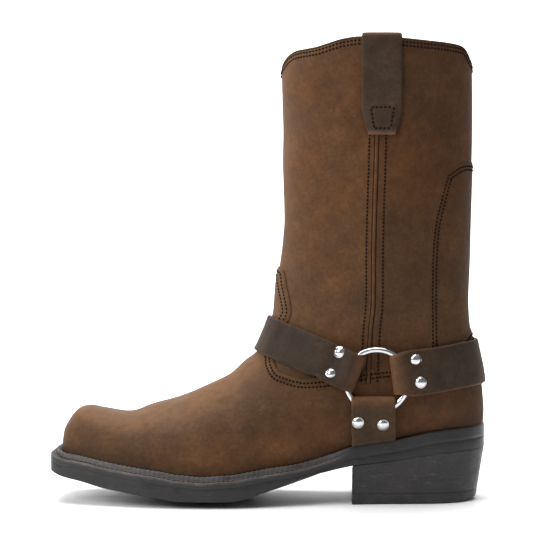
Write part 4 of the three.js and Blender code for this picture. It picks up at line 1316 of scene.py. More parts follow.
@dataclass
class Harness:
    """Rings, straps and rivets of both sides."""

    last: Last
    upper: Upper
    finishes: Finishes
    ring_along: float = 0.741
    ring_height: float = 86.4
    ring_radius: float = 21.1
    wire_radius: float = 2.1
    loop_leather: float = 2.3
    strap_thickness: float = 3.0
    rivet_radius: float = 4.0
    rivet_height: float = 2.0
    ring_frames: dict[Side, tuple[np.ndarray, np.ndarray]] = field(default_factory=dict)
    trees: dict[str, BVHTree] = field(default_factory=dict)
    shades: dict[Band, float] = field(
        default_factory=lambda: {Band.FRONT: 0.3, Band.BACK: 0.0, Band.DOWN: 0.08}
    )
    # angle in the side view, centre line's offset, fold's distance, half width, loop half width
    bands: dict[Band, tuple[float, float, float, float, float]] = field(
        default_factory=lambda: {
            Band.FRONT: (157.6, -1.3, 12.1, 13.7, 13.0),
            Band.BACK: (7.2, 2.0, 10.5, 15.5, 13.0),
            Band.DOWN: (-90.0, -2.4, 10.7, 15.0, 14.25),
        }
    )
    rivets: dict[Band, tuple[tuple[float, float], ...]] = field(
        default_factory=lambda: {
            Band.FRONT: ((30.4, -6.0), (30.2, 9.2)),
            Band.BACK: ((27.6, 9.0), (29.0, -6.6)),
            Band.DOWN: ((28.2, -11.0), (29.2, 6.2)),
        }
    )

    def build(self) -> None:
        """Makes the hardware and the straps."""
        self.ring_x = float(self.last.x_at(self.ring_along))
        for side in Side:
            self._ring(side)
        for side in Side:
            self._ribbon(Band.DOWN, side)
        self._saddle(Band.FRONT)
        self._saddle(Band.BACK)

    def _ring(self, side: Side) -> None:
        """Makes a ring where the CAD ring lies."""
        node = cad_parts[f"{side.name.lower()}_ring"]
        co = np.array([v.co for v in node.data.vertices]) / MM
        centre = 0.5 * (co.min(axis=0) + co.max(axis=0)) - self.last.shift
        _, _, axes = np.linalg.svd(co - co.mean(axis=0))
        normal = axes[2] if axes[2][1] * side.value > 0 else -axes[2]
        self.ring_frames[side] = (centre, normal)
        u = np.cross(normal, [0.0, 0.0, 1.0])
        u /= np.linalg.norm(u)
        v = np.cross(normal, u)
        points = []
        for i in range(128):
            a = 2 * math.pi * i / 128
            out = math.cos(a) * u + math.sin(a) * v
            for j in range(24):
                b = 2 * math.pi * j / 24
                round_wire = out * math.cos(b) + normal * math.sin(b)
                points.append(centre + out * self.ring_radius + self.wire_radius * round_wire)
        faces = []
        for i in range(128):
            for j in range(24):
                a, b = i * 24 + j, i * 24 + (j + 1) % 24
                c, d = ((i + 1) % 128) * 24 + (j + 1) % 24, ((i + 1) % 128) * 24 + j
                faces.append((a, b, c, d))
        piece = mesh_object(f"{side.name.lower()}_harness_ring", np.array(points), faces, self.last.shift)
        piece.data.materials.append(self.finishes.chrome)
        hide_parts(f"{side.name.lower()}_ring")
        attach(outward(piece), "root")

    def _frame(self, band: Band) -> tuple[np.ndarray, np.ndarray]:
        """Side-view directions out along a band and across it."""
        a = math.radians(self.bands[band][0])
        out = np.array([math.cos(a), math.sin(a)])
        turned = -1.0 if math.cos(a) < -0.1 else 1.0
        return out, turned * np.array([-math.sin(a), math.cos(a)])

    def _surface(self, band: Band, away: float, offset: float, side: Side) -> tuple[np.ndarray, np.ndarray]:
        """The upper's face under a band, at a distance from the ring and an offset across.

        Args:
            band: which strap.
            away: side-view distance from the ring's centre, or the distance run past the side.
            offset: distance across from the centre line.
            side: which side of the boot.

        Returns:
            The point and the outward normal.
        """
        out, across = self._frame(band)
        centre = np.array([self.ring_x, self.ring_height])
        x, z = centre + out * away + across * (offset + self.bands[band][1])
        found = self.upper.touch(float(x), float(z), side)
        if found is None:
            raise ValueError(f"{band} leaves the boot at {away:.0f}")
        return found

    def _level(self, away: float) -> float:
        """Height of the outer layer's middle over the leather, doubled near the ring."""
        single = self.last.gap + 0.5 * self.strap_thickness
        doubled = self.last.gap + 1.5 * self.loop_leather + 0.3
        return single + (doubled - single) * (1.0 - float(smooth(away, 36.0, 58.0)))

    def _loop_path(self, band: Band, side: Side, offset: float, reach: float, steps: int) -> Places:
        """Mid-layer path of a strap end at one offset across, over the wire and back under it.

        Args:
            band: which strap.
            side: which side of the boot.
            offset: distance across from the centre line.
            reach: distance from the ring's centre at which the path starts.
            steps: number of steps along the outer layer.

        Returns:
            Points, each with the direction in which the strap's outer face looks.
        """
        centre, n = self.ring_frames[side]
        out, across = self._frame(band)
        fold = self.bands[band][2]
        out3 = np.array([out[0], 0.0, out[1]])
        out3 -= n * (out3 @ n)
        out3 /= np.linalg.norm(out3)
        across3 = np.array([across[0], 0.0, across[1]])
        across3 -= n * (across3 @ n)
        across3 /= np.linalg.norm(across3)
        line = offset + self.bands[band][1]
        half = 0.5 * self.loop_leather
        bend = self.wire_radius + self.last.gap + half
        middle = fold + bend + half
        path = []

        def at(away: float, up: float) -> np.ndarray:
            """A point of the ring's own frame."""
            return centre + out3 * away + across3 * line + n * up

        for away in np.linspace(reach, middle, steps):
            ground, up = self._surface(band, float(away), offset, side)
            free = ground + up * self._level(float(away))
            top = at(float(away), bend)
            w = 1.0 - float(smooth(away, middle + 3.0, middle + 15.0))
            path.append((free * (1 - w) + top * w, up * (1 - w) + n * w))
        for k in range(1, 12):
            a = math.pi / 2 + math.pi * k / 12
            look = out3 * math.cos(a) + n * math.sin(a)
            path.append((at(middle, 0.0) + look * bend, look))
        for away in np.linspace(middle, 37.5, 16):
            ground, up = self._surface(band, float(away), offset, side)
            free = ground + up * (self.last.gap + half)
            low = at(float(away), -bend)
            w = 1.0 - float(smooth(away, middle + 1.0, middle + 10.0))
            lowest = ground + up * (self.last.gap + half)
            if (low - lowest) @ up < 0:
                low = lowest
            path.append((free * (1 - w) + low * w, -(up * (1 - w) + n * w)))
        return path

    def _skin_ribbon(
        self,
        name: str,
        columns: list[Places],
        thickness: float,
        nodes: tuple[str, ...],
        folds: tuple[int, ...],
        shade: float,
    ) -> bpy.types.Object:
        """A thick strap from mid-layer paths side by side.

        Args:
            name: the piece's name.
            columns: paths of equal length, one for each place across the strap.
            thickness: the leather's thickness.
            nodes: CAD nodes that the piece stands for.
            folds: rows at the middle of a fold, which are rubbed light.
            shade: how much darker than its finish the strap is.

        Returns:
            The strap.
        """
        mid = np.array([[p for p, _ in c] for c in columns])
        look = np.array([[n for _, n in c] for c in columns])
        count, rows = mid.shape[:2]
        calm = np.ones(rows)
        for fold in folds:
            calm *= smooth(np.abs(np.arange(rows) - fold), 9.0, 14.0)
        calm[[0, -1]] = 0.0
        for _ in range(40):
            for strength in (0.5, -0.52):
                for values in (mid, look):
                    mean = 0.5 * (values[:, :-2] + values[:, 2:]) - values[:, 1:-1]
                    values[:, 1:-1] += strength * calm[None, 1:-1, None] * mean
        look /= np.linalg.norm(look, axis=2, keepdims=True)
        drop = np.zeros(count)
        drop[: len(STRAP_ROUNDING)] = STRAP_ROUNDING
        drop[-len(STRAP_ROUNDING) :] = STRAP_ROUNDING[::-1]
        half = np.repeat((0.5 * thickness * (1 - drop))[:, None], rows, axis=1)
        finish = (self.finishes.strap, self.finishes.strap_edge)
        piece, grid = ribbon(name, mid, look, half, half, finish, self.last.shift)
        wear = np.zeros((rows, 2 * count))
        for fold in folds:
            wear += 0.85 * np.exp(-(((np.arange(rows) - fold) / 6.5) ** 2))[:, None]
        for j in (0, 1, count - 2, count - 1):
            wear[:, [j, 2 * count - 1 - j]] += 0.25
        mark(piece, "wear", np.clip(wear, 0.0, 0.9))
        mark(piece, "shade", np.full(rows * 2 * count, shade))
        outward(piece)
        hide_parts(*nodes)
        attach(piece, "root")
        quads = grid_faces(rows, 2 * count, True)
        self.trees[name] = BVHTree.FromPolygons(grid.reshape(-1, 3).tolist(), quads, all_triangles=False)
        log.info("%s: %d faces", name, len(piece.data.polygons))
        return piece

    def _offsets(self, band: Band, away: float) -> np.ndarray:
        """Places across a band, closer together at its edges, narrower at the ring."""
        _, _, fold, half, loop = self.bands[band]
        w = float(smooth(away, fold + 8.0, fold + 18.0))
        reach = loop + (half - loop) * w
        unit = np.array([-1.0, -0.965, -0.9, -0.7, -0.45, -0.2, 0.0, 0.2, 0.45, 0.7, 0.9, 0.965, 1.0])
        return unit * reach

    def _ribbon(self, band: Band, side: Side) -> None:
        """Makes the strap from a ring down to the sole."""
        last = self.last
        unit = self._offsets(band, 99.0)
        columns = []
        for offset in unit:
            x = self.ring_x + self._frame(band)[1][0] * (offset + self.bands[band][1])
            foot = self.ring_height - float(last.feather_z(last.along_at(x))) - 2.2
            columns.append(self._loop_path(band, side, float(offset), foot, 30))
        name = f"{side.name.lower()}_strap_down"
        fold = len(columns[0]) - 22
        node = f"{side.name.lower()}_down_strap"
        self._skin_ribbon(name, columns, self.loop_leather + 0.2, (node,), (fold,), self.shades[band])
        self._rivet_pair(band, side, name)

    def _saddle(self, band: Band) -> None:
        """Makes a strap that runs from ring to ring round the front or the back."""
        unit = self._offsets(band, 99.0)
        _, _, fold, half, loop = self.bands[band]
        reach = 46.0
        columns = []
        for offset in unit:
            pinch = float(offset) * loop / half
            ends = []
            for side in Side:
                path = []
                full = self._loop_path(band, side, float(offset), reach, 26)
                narrow = self._loop_path(band, side, pinch, reach, 26)
                for (p, n), (q, m) in zip(full, narrow):
                    away = float(np.linalg.norm((p - self.ring_frames[side][0])))
                    w = float(smooth(away, fold + 8.0, fold + 18.0))
                    path.append((p * w + q * (1 - w), n * w + m * (1 - w)))
                ends.append(path)
            over = self._wrap(band, float(offset), reach)
            columns.append(list(reversed(ends[0])) + over + ends[1])
        name = f"strap_{band.value}"
        thick = 0.5 * (self.loop_leather + self.strap_thickness)
        folds = (21, len(columns[0]) - 22)
        self._skin_ribbon(name, columns, thick, (f"{band.value}_strap",), folds, self.shades[band])
        for side in Side:
            self._rivet_pair(band, side, name)

    def _wrap(self, band: Band, offset: float, reach: float) -> Places:
        """Mid-layer path round the front or back, in the plane of one side-view line."""
        out, across = self._frame(band)
        line = np.array([self.ring_x, self.ring_height]) + across * (offset + self.bands[band][1])
        start = line + out * (reach - 20.0)
        origin = Vector((float(start[0]), 0.0, float(start[1])))
        hits = []
        for k in range(361):
            a = math.pi * (k / 360.0)
            look = Vector((out[0] * math.sin(a), -math.cos(a), out[1] * math.sin(a)))
            hit, normal, _, _ = self.upper.tree.ray_cast(origin, look)
            if hit is None:
                continue
            n = np.array(normal)
            if n @ np.array(look) < 0:
                n = -n
            hits.append((np.array(hit), n))
        spots = np.array([h for h, _ in hits])
        normals = np.array([n for _, n in hits])
        away = (spots[:, [0, 2]] - line) @ out
        keep = away > reach + 1.5
        spots, normals = spots[keep], normals[keep]
        run = run_of(spots)
        even = np.linspace(0.0, run[-1], 90)
        spots = read_at(even, run, spots)
        normals = soften(read_at(even, run, normals), 6)
        normals /= np.linalg.norm(normals, axis=1, keepdims=True)
        away = (spots[:, [0, 2]] - line) @ out
        return [(p + n * self._level(float(a)), n) for p, n, a in zip(spots, normals, away)]

    def _rivet_pair(self, band: Band, side: Side, strap: str) -> None:
        """Makes the two domed rivets of a strap's end."""
        for i, (away, offset) in enumerate(self.rivets[band]):
            ground, up = self._surface(band, away, offset, side)
            start = Vector((ground + up * 30).tolist())
            hit, normal, _, _ = self.trees[strap].ray_cast(start, Vector((-up).tolist()))
            if hit is None:
                raise ValueError(f"rivet {band} misses its strap")
            n = np.array(normal)
            n = n if n @ up > 0 else -n
            self._rivet(f"{side.name.lower()}_{band.value}_rivet_{i + 1}", np.array(hit), n)

    def _rivet(self, node: str, seat: np.ndarray, normal: np.ndarray) -> None:
        """Makes a domed rivet with a rolled rim on its seat."""
        u = np.cross(normal, [0.0, 0.0, 1.0])
        u /= np.linalg.norm(u)
        v = np.cross(normal, u)
        profile = [(0.98, -0.3), (1.0, 0.08), (0.985, 0.16), (0.95, 0.2), (0.91, 0.2), (0.88, 0.22)]
        profile += [(r, 0.22 + 0.78 * (1.0 - (r / 0.88) ** 2) ** 0.8) for r in np.linspace(0.86, 0.02, 15)]
        rings = []
        sides = 48
        for r, h in profile:
            for k in range(sides):
                a = 2 * math.pi * k / sides
                out = math.cos(a) * u + math.sin(a) * v
                rings.append(seat + self.rivet_radius * r * out + normal * self.rivet_height * h)
        faces = tube_faces(len(profile), sides)
        piece = mesh_object(f"{node}_dome", np.array(rings), faces, self.last.shift)
        piece.data.materials.append(self.finishes.chrome)
        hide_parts(node)
        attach(outward(piece), "root")


@dataclass
class Sole:
    """Welt with its bead, notches and thread, outsole, heel and cap."""

    last: Last
    upper: Upper
    finishes: Finishes
    breast: float = 0.686
    cap: float = 7.5
    heel_taper: float = 2.6
    back_taper: float = 6.5
    breast_slant: float = 4.5
    breast_bow: float = 2.0

    def _outline(self, count: int) -> np.ndarray:
        """The welt's outline in plan from the heel round the toe and back, evenly spaced."""
        ends = np.linspace(0, 0.05, 60), np.linspace(0.95, 1.0, 60)[1:]
        dense = np.concatenate([ends[0], np.linspace(0.05, 0.95, 160)[1:], ends[1]])
        x = self.last.x_at(dense)
        outer = np.stack([x, -self.last.half_width(dense, 1)], axis=1)
        inner = np.stack([x, self.last.half_width(dense, 2)], axis=1)
        loop = np.vstack([outer[::-1], inner])
        loop = np.vstack([loop, loop[:1]])
        run = run_of(loop)
        return soften_loop(read_at(np.linspace(0.0, run[-1], count, endpoint=False), run, loop), 4)

    def _feather_loop(self, outline: np.ndarray) -> np.ndarray:
        """The upper's own outline in plan at the feather line, for each outline point."""
        out = []
        for x, y in outline:
            cx = float(np.clip(x, self.last.toe_x + 40, self.last.toe_x + self.last.sole_length - 38))
            z = float(self.last.feather_z(self.last.along_at(x))) - 0.6
            look = Vector((x - cx, y - 2.0, 0.0)).normalized()
            hit, _, _, _ = self.upper.tree.ray_cast(Vector((cx, 2.0, z)), look)
            if hit is None:
                out.append([x, y])
            else:
                out.append([hit.x, hit.y])
        return soften_loop(np.array(out), 3)

    def _wall_loop(
        self,
        name: str,
        loops: Places,
        material: bpy.types.Material,
        nodes: tuple[str, ...],
        cap: bool,
    ) -> bpy.types.Object:
        """A piece from plan loops with heights, one above the other.

        Args:
            name: the piece's name.
            loops: plan outline and height of each point, from the lower inside outwards and up.
            material: its finish.
            nodes: CAD nodes that it stands for.
            cap: whether its ends are closed over rather than joined to each other.

        Returns:
            The piece.
        """
        points = np.array([np.column_stack([plan, height]) for plan, height in loops])
        rows, columns = points.shape[:2]
        faces: list[tuple[int, ...]] = list(grid_faces(rows, columns, True))
        if cap:
            half = columns // 2
            for base, flip in ((0, True), ((rows - 1) * columns, False)):
                for j in range(half - 1):
                    quad = (base + j, base + j + 1, base + columns - 2 - j, base + columns - 1 - j)
                    if len(set(quad)) < 4 or j + 1 >= columns - 2 - j:
                        continue
                    faces.append(tuple(reversed(quad)) if flip else quad)
        else:
            top = (rows - 1) * columns
            for j in range(columns):
                k = (j + 1) % columns
                faces.append((top + j, top + k, k, j))
        piece = mesh_object(name, points.reshape(-1, 3), faces, self.last.shift)
        piece.data.materials.append(material)
        if nodes:
            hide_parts(*nodes)
        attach(outward(piece), "root")
        log.info("%s: %d faces", name, len(piece.data.polygons))
        return piece

    def build(self) -> None:
        """Makes the layers of the sole."""
        self._welt()
        self._outsole()
        self._heel()

    def _welt(self) -> None:
        """The welt strip with a raised bead, a stitch groove and a row of notches."""
        last = self.last
        count = 2200
        edge = self._outline(count)
        feather = self._feather_loop(edge)
        along = last.along_at(edge[:, 0])
        low = last.outsole_top(along) + 0.04
        top = last.welt_top(along)
        inward = feather - edge
        width = np.linalg.norm(inward, axis=1, keepdims=True)
        inward = inward / np.maximum(width, 1e-6)
        run = run_of(edge)
        fore = 1.0 - smooth(along, 0.62, 0.69)
        ridge = 0.32 * (0.5 + 0.5 * np.cos(2 * np.pi * run / 1.9)) * (1.0 - smooth(along, 0.3, 0.5))
        pinch = 0.38 * (0.5 + 0.5 * np.cos(2 * np.pi * run / 3.4)) ** 2 * fore
        seat = last.feather_z(last.along_at(feather[:, 0]))
        rise = seat - top

        def at(share: float) -> np.ndarray:
            """Plan loop at a share of the way from the edge to the upper."""
            return edge + inward * width * share

        def layer(fore_plan: np.ndarray, fore_z: np.ndarray, heel_in: float, heel_z: np.ndarray) -> tuple:
            """Plan and height of one line of the strip, flush with the edge in the heel's part."""
            w = fore[:, None]
            return fore_plan * w + (edge + inward * heel_in) * (1 - w), fore_z * fore + heel_z * (1 - fore)

        loops = [
            (at(0.97), low),
            (edge + inward * 0.5, low - 0.1),
            (edge + inward * 0.04, low),
            (edge, low + 0.5 * (top - low)),
            layer(edge + inward * 0.04, top - 0.5, 0.0, top - 0.2),
            layer(edge + inward * 0.22, top - 0.12, 0.0, top + 0.1 * rise),
            layer(edge + inward * 0.6, top - 0.02 - 0.4 * ridge, 0.0, top + 0.3 * rise),
            layer(at(0.24), top - 0.1 - ridge, 0.0, top + 0.5 * rise),
            layer(at(0.4), top - 0.15 - ridge, 0.02, top + 0.66 * rise),
            layer(at(0.53), top - 0.25, 0.05, top + 0.78 * rise),
            layer(at(0.6), top + 0.35 * last.bead - 0.5 * pinch, 0.12, top + 0.88 * rise),
            layer(at(0.68), top + 0.75 * last.bead - pinch, 0.35, seat - 0.25),
            layer(at(0.77), seat - 0.1 - pinch, 0.8, seat - 0.05),
            layer(at(0.87), seat - 0.1 - pinch, 1.6, seat),
            layer(at(0.95), seat - 0.5 - 0.6 * pinch, 2.4, seat - 0.05),
            (at(0.99), seat - 1.3),
        ]
        strip = self._wall_loop("welt_strip", loops, self.finishes.rubber, ("welt",), False)
        # Painted highlight: the welt's outer top edge and the bead's top are marked lighter, standing in for
        # glints.
        light = np.zeros((len(loops), count))
        light[4:6] = 0.85 * fore
        light[10:14] = 0.5 * fore
        light[7:9] = -0.2
        mark(strip, "wear", np.clip(light, 0.0, 1.0))
        thread = self.finishes.welt_thread
        stitches = Stitching(last, "welt_stitches", thread, length=2.2, pitch=3.4, radius=0.5)
        spots = np.column_stack([at(0.5), top + 0.1])[along < 0.66]
        stitches.row([(spot, np.array([0.0, 0.0, 1.0])) for spot in spots])
        stitches.finish("sole")

    def _outsole(self) -> None:
        """The outsole with its step and rolled lower edge."""
        last = self.last
        count = 620
        edge = self._outline(count)
        along = last.along_at(edge[:, 0])
        top = last.outsole_top(along)
        bottom = last.edge_z(along)
        floor = last.bottom_z(along)
        middle_y = 0.5 * (last.half_width(along, 2) - last.half_width(along, 1))
        ends = (last.toe_x + 44.0, last.toe_x + last.sole_length - 40.0)
        spine = np.stack([np.clip(edge[:, 0], *ends), middle_y], axis=1)
        reach = np.linalg.norm(spine - edge, axis=1, keepdims=True)

        def inset(distance: float) -> np.ndarray:
            """Plan loop at a distance in from the edge, towards the sole's middle."""
            return edge + (spine - edge) / reach * np.minimum(distance, 0.85 * reach)

        drop = bottom - floor
        loops = [
            (inset(12.0), top),
            (inset(0.12), top),
            (inset(0.05), top - 0.1),
            (inset(0.05), top - 0.3),
            (inset(0.0), top - 0.45),
            (inset(0.0), 0.5 * (top + bottom)),
            (inset(0.0), bottom + 0.4),
            (inset(0.06), bottom + 0.06),
            (inset(0.5), bottom - 0.01 * drop),
            (inset(10.0), bottom - 0.27 * drop),
            (inset(22.0), bottom - 0.64 * drop),
            (inset(34.0), floor),
            (inset(37.0), floor),
        ]
        self._wall_loop("outsole_body", loops, self.finishes.rubber, ("outsole",), True)

    def _heel_loop(self, level: float, count: int = 260) -> np.ndarray:
        """The heel's outline in plan at a level from 0 at the floor to 1 under the outsole."""
        last = self.last
        share = np.concatenate([np.linspace(self.breast, 0.95, 50), np.linspace(0.95, 1.0, 50)[1:]])
        k = (share - self.breast) / (1 - self.breast)
        breast, back = float(last.x_at(self.breast)), float(last.x_at(1.0))
        x = breast + (back - breast) * k * (1 - (1 - level) * self.back_taper / (back - breast))
        scale = 1 - (1 - level) * self.heel_taper / (0.33 * last.sole_width)
        outer = np.stack([x, -last.half_width(share, 1) * scale], axis=1)
        inner_x = x + self.breast_slant * (1 - k) ** 3
        inner = np.stack([inner_x, last.half_width(share, 2) * scale], axis=1)
        t = np.linspace(0.0, 1.0, 30)[1:-1]
        bow = 4.0 * self.breast_bow * t * (1 - t)
        front_y = inner[0, 1] + (outer[0, 1] - inner[0, 1]) * t
        front = np.stack([breast + self.breast_slant * (1 - t) + bow, front_y], axis=1)
        loop = np.vstack([outer, inner[::-1], front, outer[:1]])
        run = run_of(loop)
        return read_at(np.linspace(0.0, run[-1], count, endpoint=False), run, loop)

    def _pushed(self, level: float, distance: float) -> np.ndarray:
        """The heel's outline at a level, moved out from its middle by a distance."""
        plan = self._heel_loop(level)
        direction = plan - plan.mean(axis=0)
        return plan + direction / np.linalg.norm(direction, axis=1, keepdims=True) * distance

    def _heel(self) -> None:
        """The heel block with fine layers, and its cap."""
        last = self.last
        top_level = (self.cap + last.gap) / last.heel_height / 1.3
        levels = np.linspace(top_level, 1.0, 60)
        upper = self._heel_loop(1.0)
        ceiling = last.bottom_z(last.along_at(upper[:, 0])) - 0.1
        rng = np.random.default_rng(11)
        loops = []
        low = self.cap + 0.1
        for i, level in enumerate(levels):
            t = i / (len(levels) - 1)
            groove = 0.10 * (1 if i % 2 else -1) + rng.normal(0.0, 0.03)
            if i in (0, len(levels) - 1):
                groove = 0.0
            loops.append((self._pushed(float(level), groove - 0.1), low + (ceiling - low) * t))
        self._wall_loop("heel_stack", loops, self.finishes.heel, ("heel_block",), True)
        loops = []
        for level, height, pull in HEEL_TAP:
            k = last.along_at(self._heel_loop(level)[:, 0])
            lift = 1.6 * smooth(k, 0.93, 0.985) * max(0.0, 1 - height / 5.0)
            loops.append((self._pushed(level, pull), np.full(len(k), height) + lift))
        self._wall_loop("heel_tap", loops, self.finishes.heel, ("heel_cap",), True)


@dataclass
class PullStraps:
    """The two straps bent over the collar, with their stitched ends."""

    last: Last
    upper: Upper
    finishes: Finishes
    along: float = 0.751
    width: float = 27.0
    end_width: float = 18.0
    length: float = 67.0
    taper: float = 16.0
    thickness: float = 2.7

    def build(self) -> None:
        """Makes both straps."""
        stitches = Stitching(self.last, "pull_stitches", self.finishes.thread, length=1.9, pitch=2.8)
        for side in Side:
            self._strap(side, stitches)
        stitches.finish("pull_strap")

    def _half(self, depth: float) -> float:
        """Half width at a depth under the collar's edge."""
        w = float(np.clip((depth - (self.length - self.taper)) / self.taper, 0.0, 1.0))
        return 0.5 * (self.width + (self.end_width - self.width) * w)

    def _spot(self, x: float, depth: float, side: Side) -> tuple[np.ndarray, np.ndarray]:
        """The shaft's face at a depth under the strap's top, carried on upwards above the edge.

        Args:
            x: model X.
            depth: depth under the strap's top.
            side: which side of the boot.

        Returns:
            The point and the outward normal.
        """
        z = self.last.collar_z - depth
        rim = self.upper.face[-1]
        rim = rim[rim[:, 1] * side.value > 0]
        rim = rim[np.argsort(rim[:, 0])]
        edge = float(np.interp(x, rim[:, 0], rim[:, 2])) - 0.7
        found = self.upper.touch(x, min(z, edge), side)
        if found is None:
            raise ValueError(f"no shaft under the pull strap at x {x:.1f}, z {z:.1f}")
        spot, normal = found
        return spot + np.array([0.0, 0.0, max(0.0, z - edge)]), normal

    def _strap(self, side: Side, stitches: Stitching) -> None:
        """Makes one strap as a thick ribbon over the edge."""
        last = self.last
        centre_x = float(last.x_at(self.along))
        outward_half = np.array([0.27, 0.55, 0.8, 0.9, 0.95, 0.985, 1.0])
        unit = np.concatenate([-outward_half[::-1], [0.0], outward_half])
        half = 0.5 * self.thickness
        columns = []
        for u in unit:
            path = []
            up = np.concatenate([[0.0, 0.3, 0.8, 1.5], np.linspace(2.5, self.length - 1.0, 44)])
            for depth in self.length - up:
                spot, normal = self._spot(centre_x + u * self._half(float(depth)), float(depth), side)
                path.append((spot + normal * (last.gap + half), normal))
            edge, normal = self._spot(centre_x + u * self._half(0.0), 0.0, side)
            bend = 0.5 * last.wall + last.gap + half
            middle = edge - normal * 0.5 * last.wall
            for k in range(0, 13):
                a = math.pi * k / 12
                look = normal * math.cos(a) + np.array([0.0, 0.0, 1.0]) * math.sin(a)
                rise = np.array([0.0, 0.0, 1.0]) * math.sin(a) * (last.gap + half)
                path.append((middle + normal * math.cos(a) * bend + rise, look))
            for depth in np.linspace(1.0, self.length, 20):
                spot, normal = self._spot(centre_x + u * self._half(float(depth)), float(depth), side)
                path.append((spot - normal * (last.wall + last.gap + half + 0.2), -normal))
            columns.append(path)
        mid = np.array([[p for p, _ in c] for c in columns])
        look = np.array([[n for _, n in c] for c in columns])
        count, rows = mid.shape[:2]
        drop = np.array([0.78, 0.45, 0.18, 0.06] + [0.0] * (count - 8) + [0.06, 0.18, 0.45, 0.78])
        hem = np.ones(rows)
        hem[:4] = (0.35, 0.68, 0.88, 0.98)
        hem[-1] = 0.5
        run = run_of(mid[count // 2])
        patch = smooth(run, 2.6, 4.2) * (1.0 - smooth(run, 19.6, 21.2))
        flat = 1.0 - smooth(np.abs(unit), 0.74, 0.86)
        thick = half * (1 - drop)[:, None] * hem[None, :]
        rise = 0.55 * flat[:, None] * patch[None, :]
        fold = 48 + 6
        wear = 0.75 * np.exp(-(((np.arange(rows) - fold) / 5.0) ** 2)) + 0.85 * np.exp(-((run / 2.4) ** 4))
        wear = np.repeat(wear[:, None], 2 * count, axis=1)
        wear[:, [0, 1, count - 2, count - 1, count, count + 1, -2, -1]] += 0.15
        word = side.name.lower()
        finish = (self.finishes.pull, self.finishes.strap_edge)
        piece, _ = ribbon(f"{word}_pull_loop", mid, look, thick + rise, thick, finish, last.shift)
        mark(piece, "wear", np.clip(wear, 0.0, 0.9))
        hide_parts(f"{word}_pull_strap")
        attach(outward(piece), "root")
        box = [(-7.6, 48.6), (7.8, 48.2), (5.6, 62.8), (-5.2, 62.8), (-7.6, 48.6)]
        for (ax, ad), (bx, bd) in zip(box[:-1], box[1:]):
            line = []
            for t in np.linspace(0.0, 1.0, max(4, int(math.hypot(bx - ax, bd - ad)))):
                x = centre_x + ax + (bx - ax) * t
                spot, normal = self.upper.touch(x, last.collar_z - (ad + (bd - ad) * t), side)
                line.append((spot + normal * (last.gap + self.thickness + 0.5), normal))
            stitches.row(line)


@dataclass
class Inside:
    """The foot bed inside the boot."""

    finishes: Finishes

    def build(self) -> None:
        """Dresses the insole in lining leather."""
        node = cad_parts["insole"]
        node.data.materials.clear()
        node.data.materials.append(self.finishes.lining)


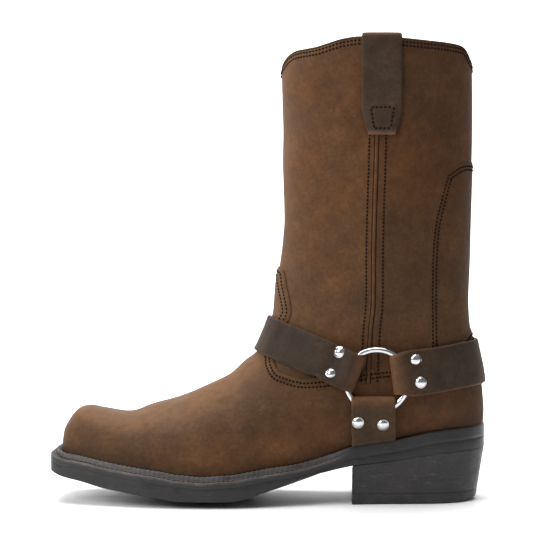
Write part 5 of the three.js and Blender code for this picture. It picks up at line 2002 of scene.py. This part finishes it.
@dataclass
class Studio:
    """Pale floor, soft light and the picture's camera."""

    lens: float = 98.7
    distance: float = 1057.0
    height: float = 162.0

    def build(self) -> None:
        """Makes floor, lights and camera."""
        self._floor()
        self._light("key", (-1.75, -1.5, 1.5), 1.2, 41.0, (0.0, 0.0, 0.15))
        self._light("side", (-1.9, 0.55, 0.7), 0.9, 14.0, (0.0, 0.0, 0.15))
        self._light("top", (-0.15, -0.15, 1.9), 1.4, 36.0, (0.0, -0.05, 0.0))
        self._light("backdrop", (0.0, 0.9, 1.7), 2.0, 75.0, (0.0, 2.6, 0.35))
        world = bpy.data.worlds.new("studio")
        bpy.context.scene.world = world
        world.use_nodes = True
        background = world.node_tree.nodes["Background"]
        background.inputs["Color"].default_value = (1.0, 1.0, 1.0, 1.0)
        background.inputs["Strength"].default_value = 0.22
        camera = bpy.data.objects.new("camera", bpy.data.cameras.new("camera"))
        bpy.context.scene.collection.objects.link(camera)
        camera.data.lens = self.lens
        camera.data.sensor_width = 36.0
        camera.data.clip_end = 50.0
        camera.location = (0.0, -self.distance * MM, self.height * MM)
        camera.rotation_euler = (math.radians(90.0), 0.0, 0.0)
        bpy.context.scene.camera = camera
        bpy.context.scene.view_settings.view_transform = "Standard"

    def _floor(self) -> None:
        """A wide pale floor that curves up behind."""
        profile = [(-6.0, 0.0), (1.4, 0.0)]
        turns = np.linspace(0.1, math.pi / 2, 12)
        profile += [(1.4 + 1.2 * math.sin(a), 1.2 - 1.2 * math.cos(a)) for a in turns]
        profile.append((2.6, 6.0))
        points = [(x, y, z) for y, z in profile for x in (-8.0, 8.0)]
        faces = [(2 * i, 2 * i + 1, 2 * i + 3, 2 * i + 2) for i in range(len(profile) - 1)]
        mesh = bpy.data.meshes.new("studio_floor")
        mesh.from_pydata(points, [], faces)
        mesh.polygons.foreach_set("use_smooth", [True] * len(mesh.polygons))
        floor = bpy.data.objects.new("studio_floor", mesh)
        bpy.context.scene.collection.objects.link(floor)
        material, kit, shader, where = new_material("pale_floor")
        tone = kit.noise(where, 3.0, 2.0, 0.5)
        pale = kit.ramp(tone, [(0.3, (0.9, 0.9, 0.9)), (0.7, (0.93, 0.93, 0.93))])
        kit.link(pale, shader.inputs["Base Color"])
        shader.inputs["Roughness"].default_value = 0.6
        floor.data.materials.append(material)

    def _light(
        self,
        name: str,
        place: tuple[float, float, float],
        size: float,
        power: float,
        aim: tuple[float, float, float],
    ) -> None:
        """Makes a square soft light.

        Args:
            name: the lamp's name.
            place: where it hangs.
            size: length of its side.
            power: watts.
            aim: the point that it faces.
        """
        data = bpy.data.lights.new(name, "AREA")
        data.shape = "SQUARE"
        data.size = size
        data.energy = power
        lamp = bpy.data.objects.new(name, data)
        lamp.location = place
        look = Vector(aim) - Vector(place)
        lamp.rotation_euler = look.to_track_quat("-Z", "Y").to_euler()
        bpy.context.scene.collection.objects.link(lamp)


def main() -> None:
    """Builds the boot's pieces in order and reports each."""
    logging.basicConfig(level=logging.INFO, format="%(name)s: %(message)s", stream=sys.stdout)
    last = Last()
    finishes = Finishes()
    upper = Upper(last, finishes)
    upper.build()
    Trim(upper, finishes).build()
    Harness(last, upper, finishes).build()
    Sole(last, upper, finishes).build()
    PullStraps(last, upper, finishes).build()
    Inside(finishes).build()
    Studio().build()


if __name__ == "__main__":
    main()
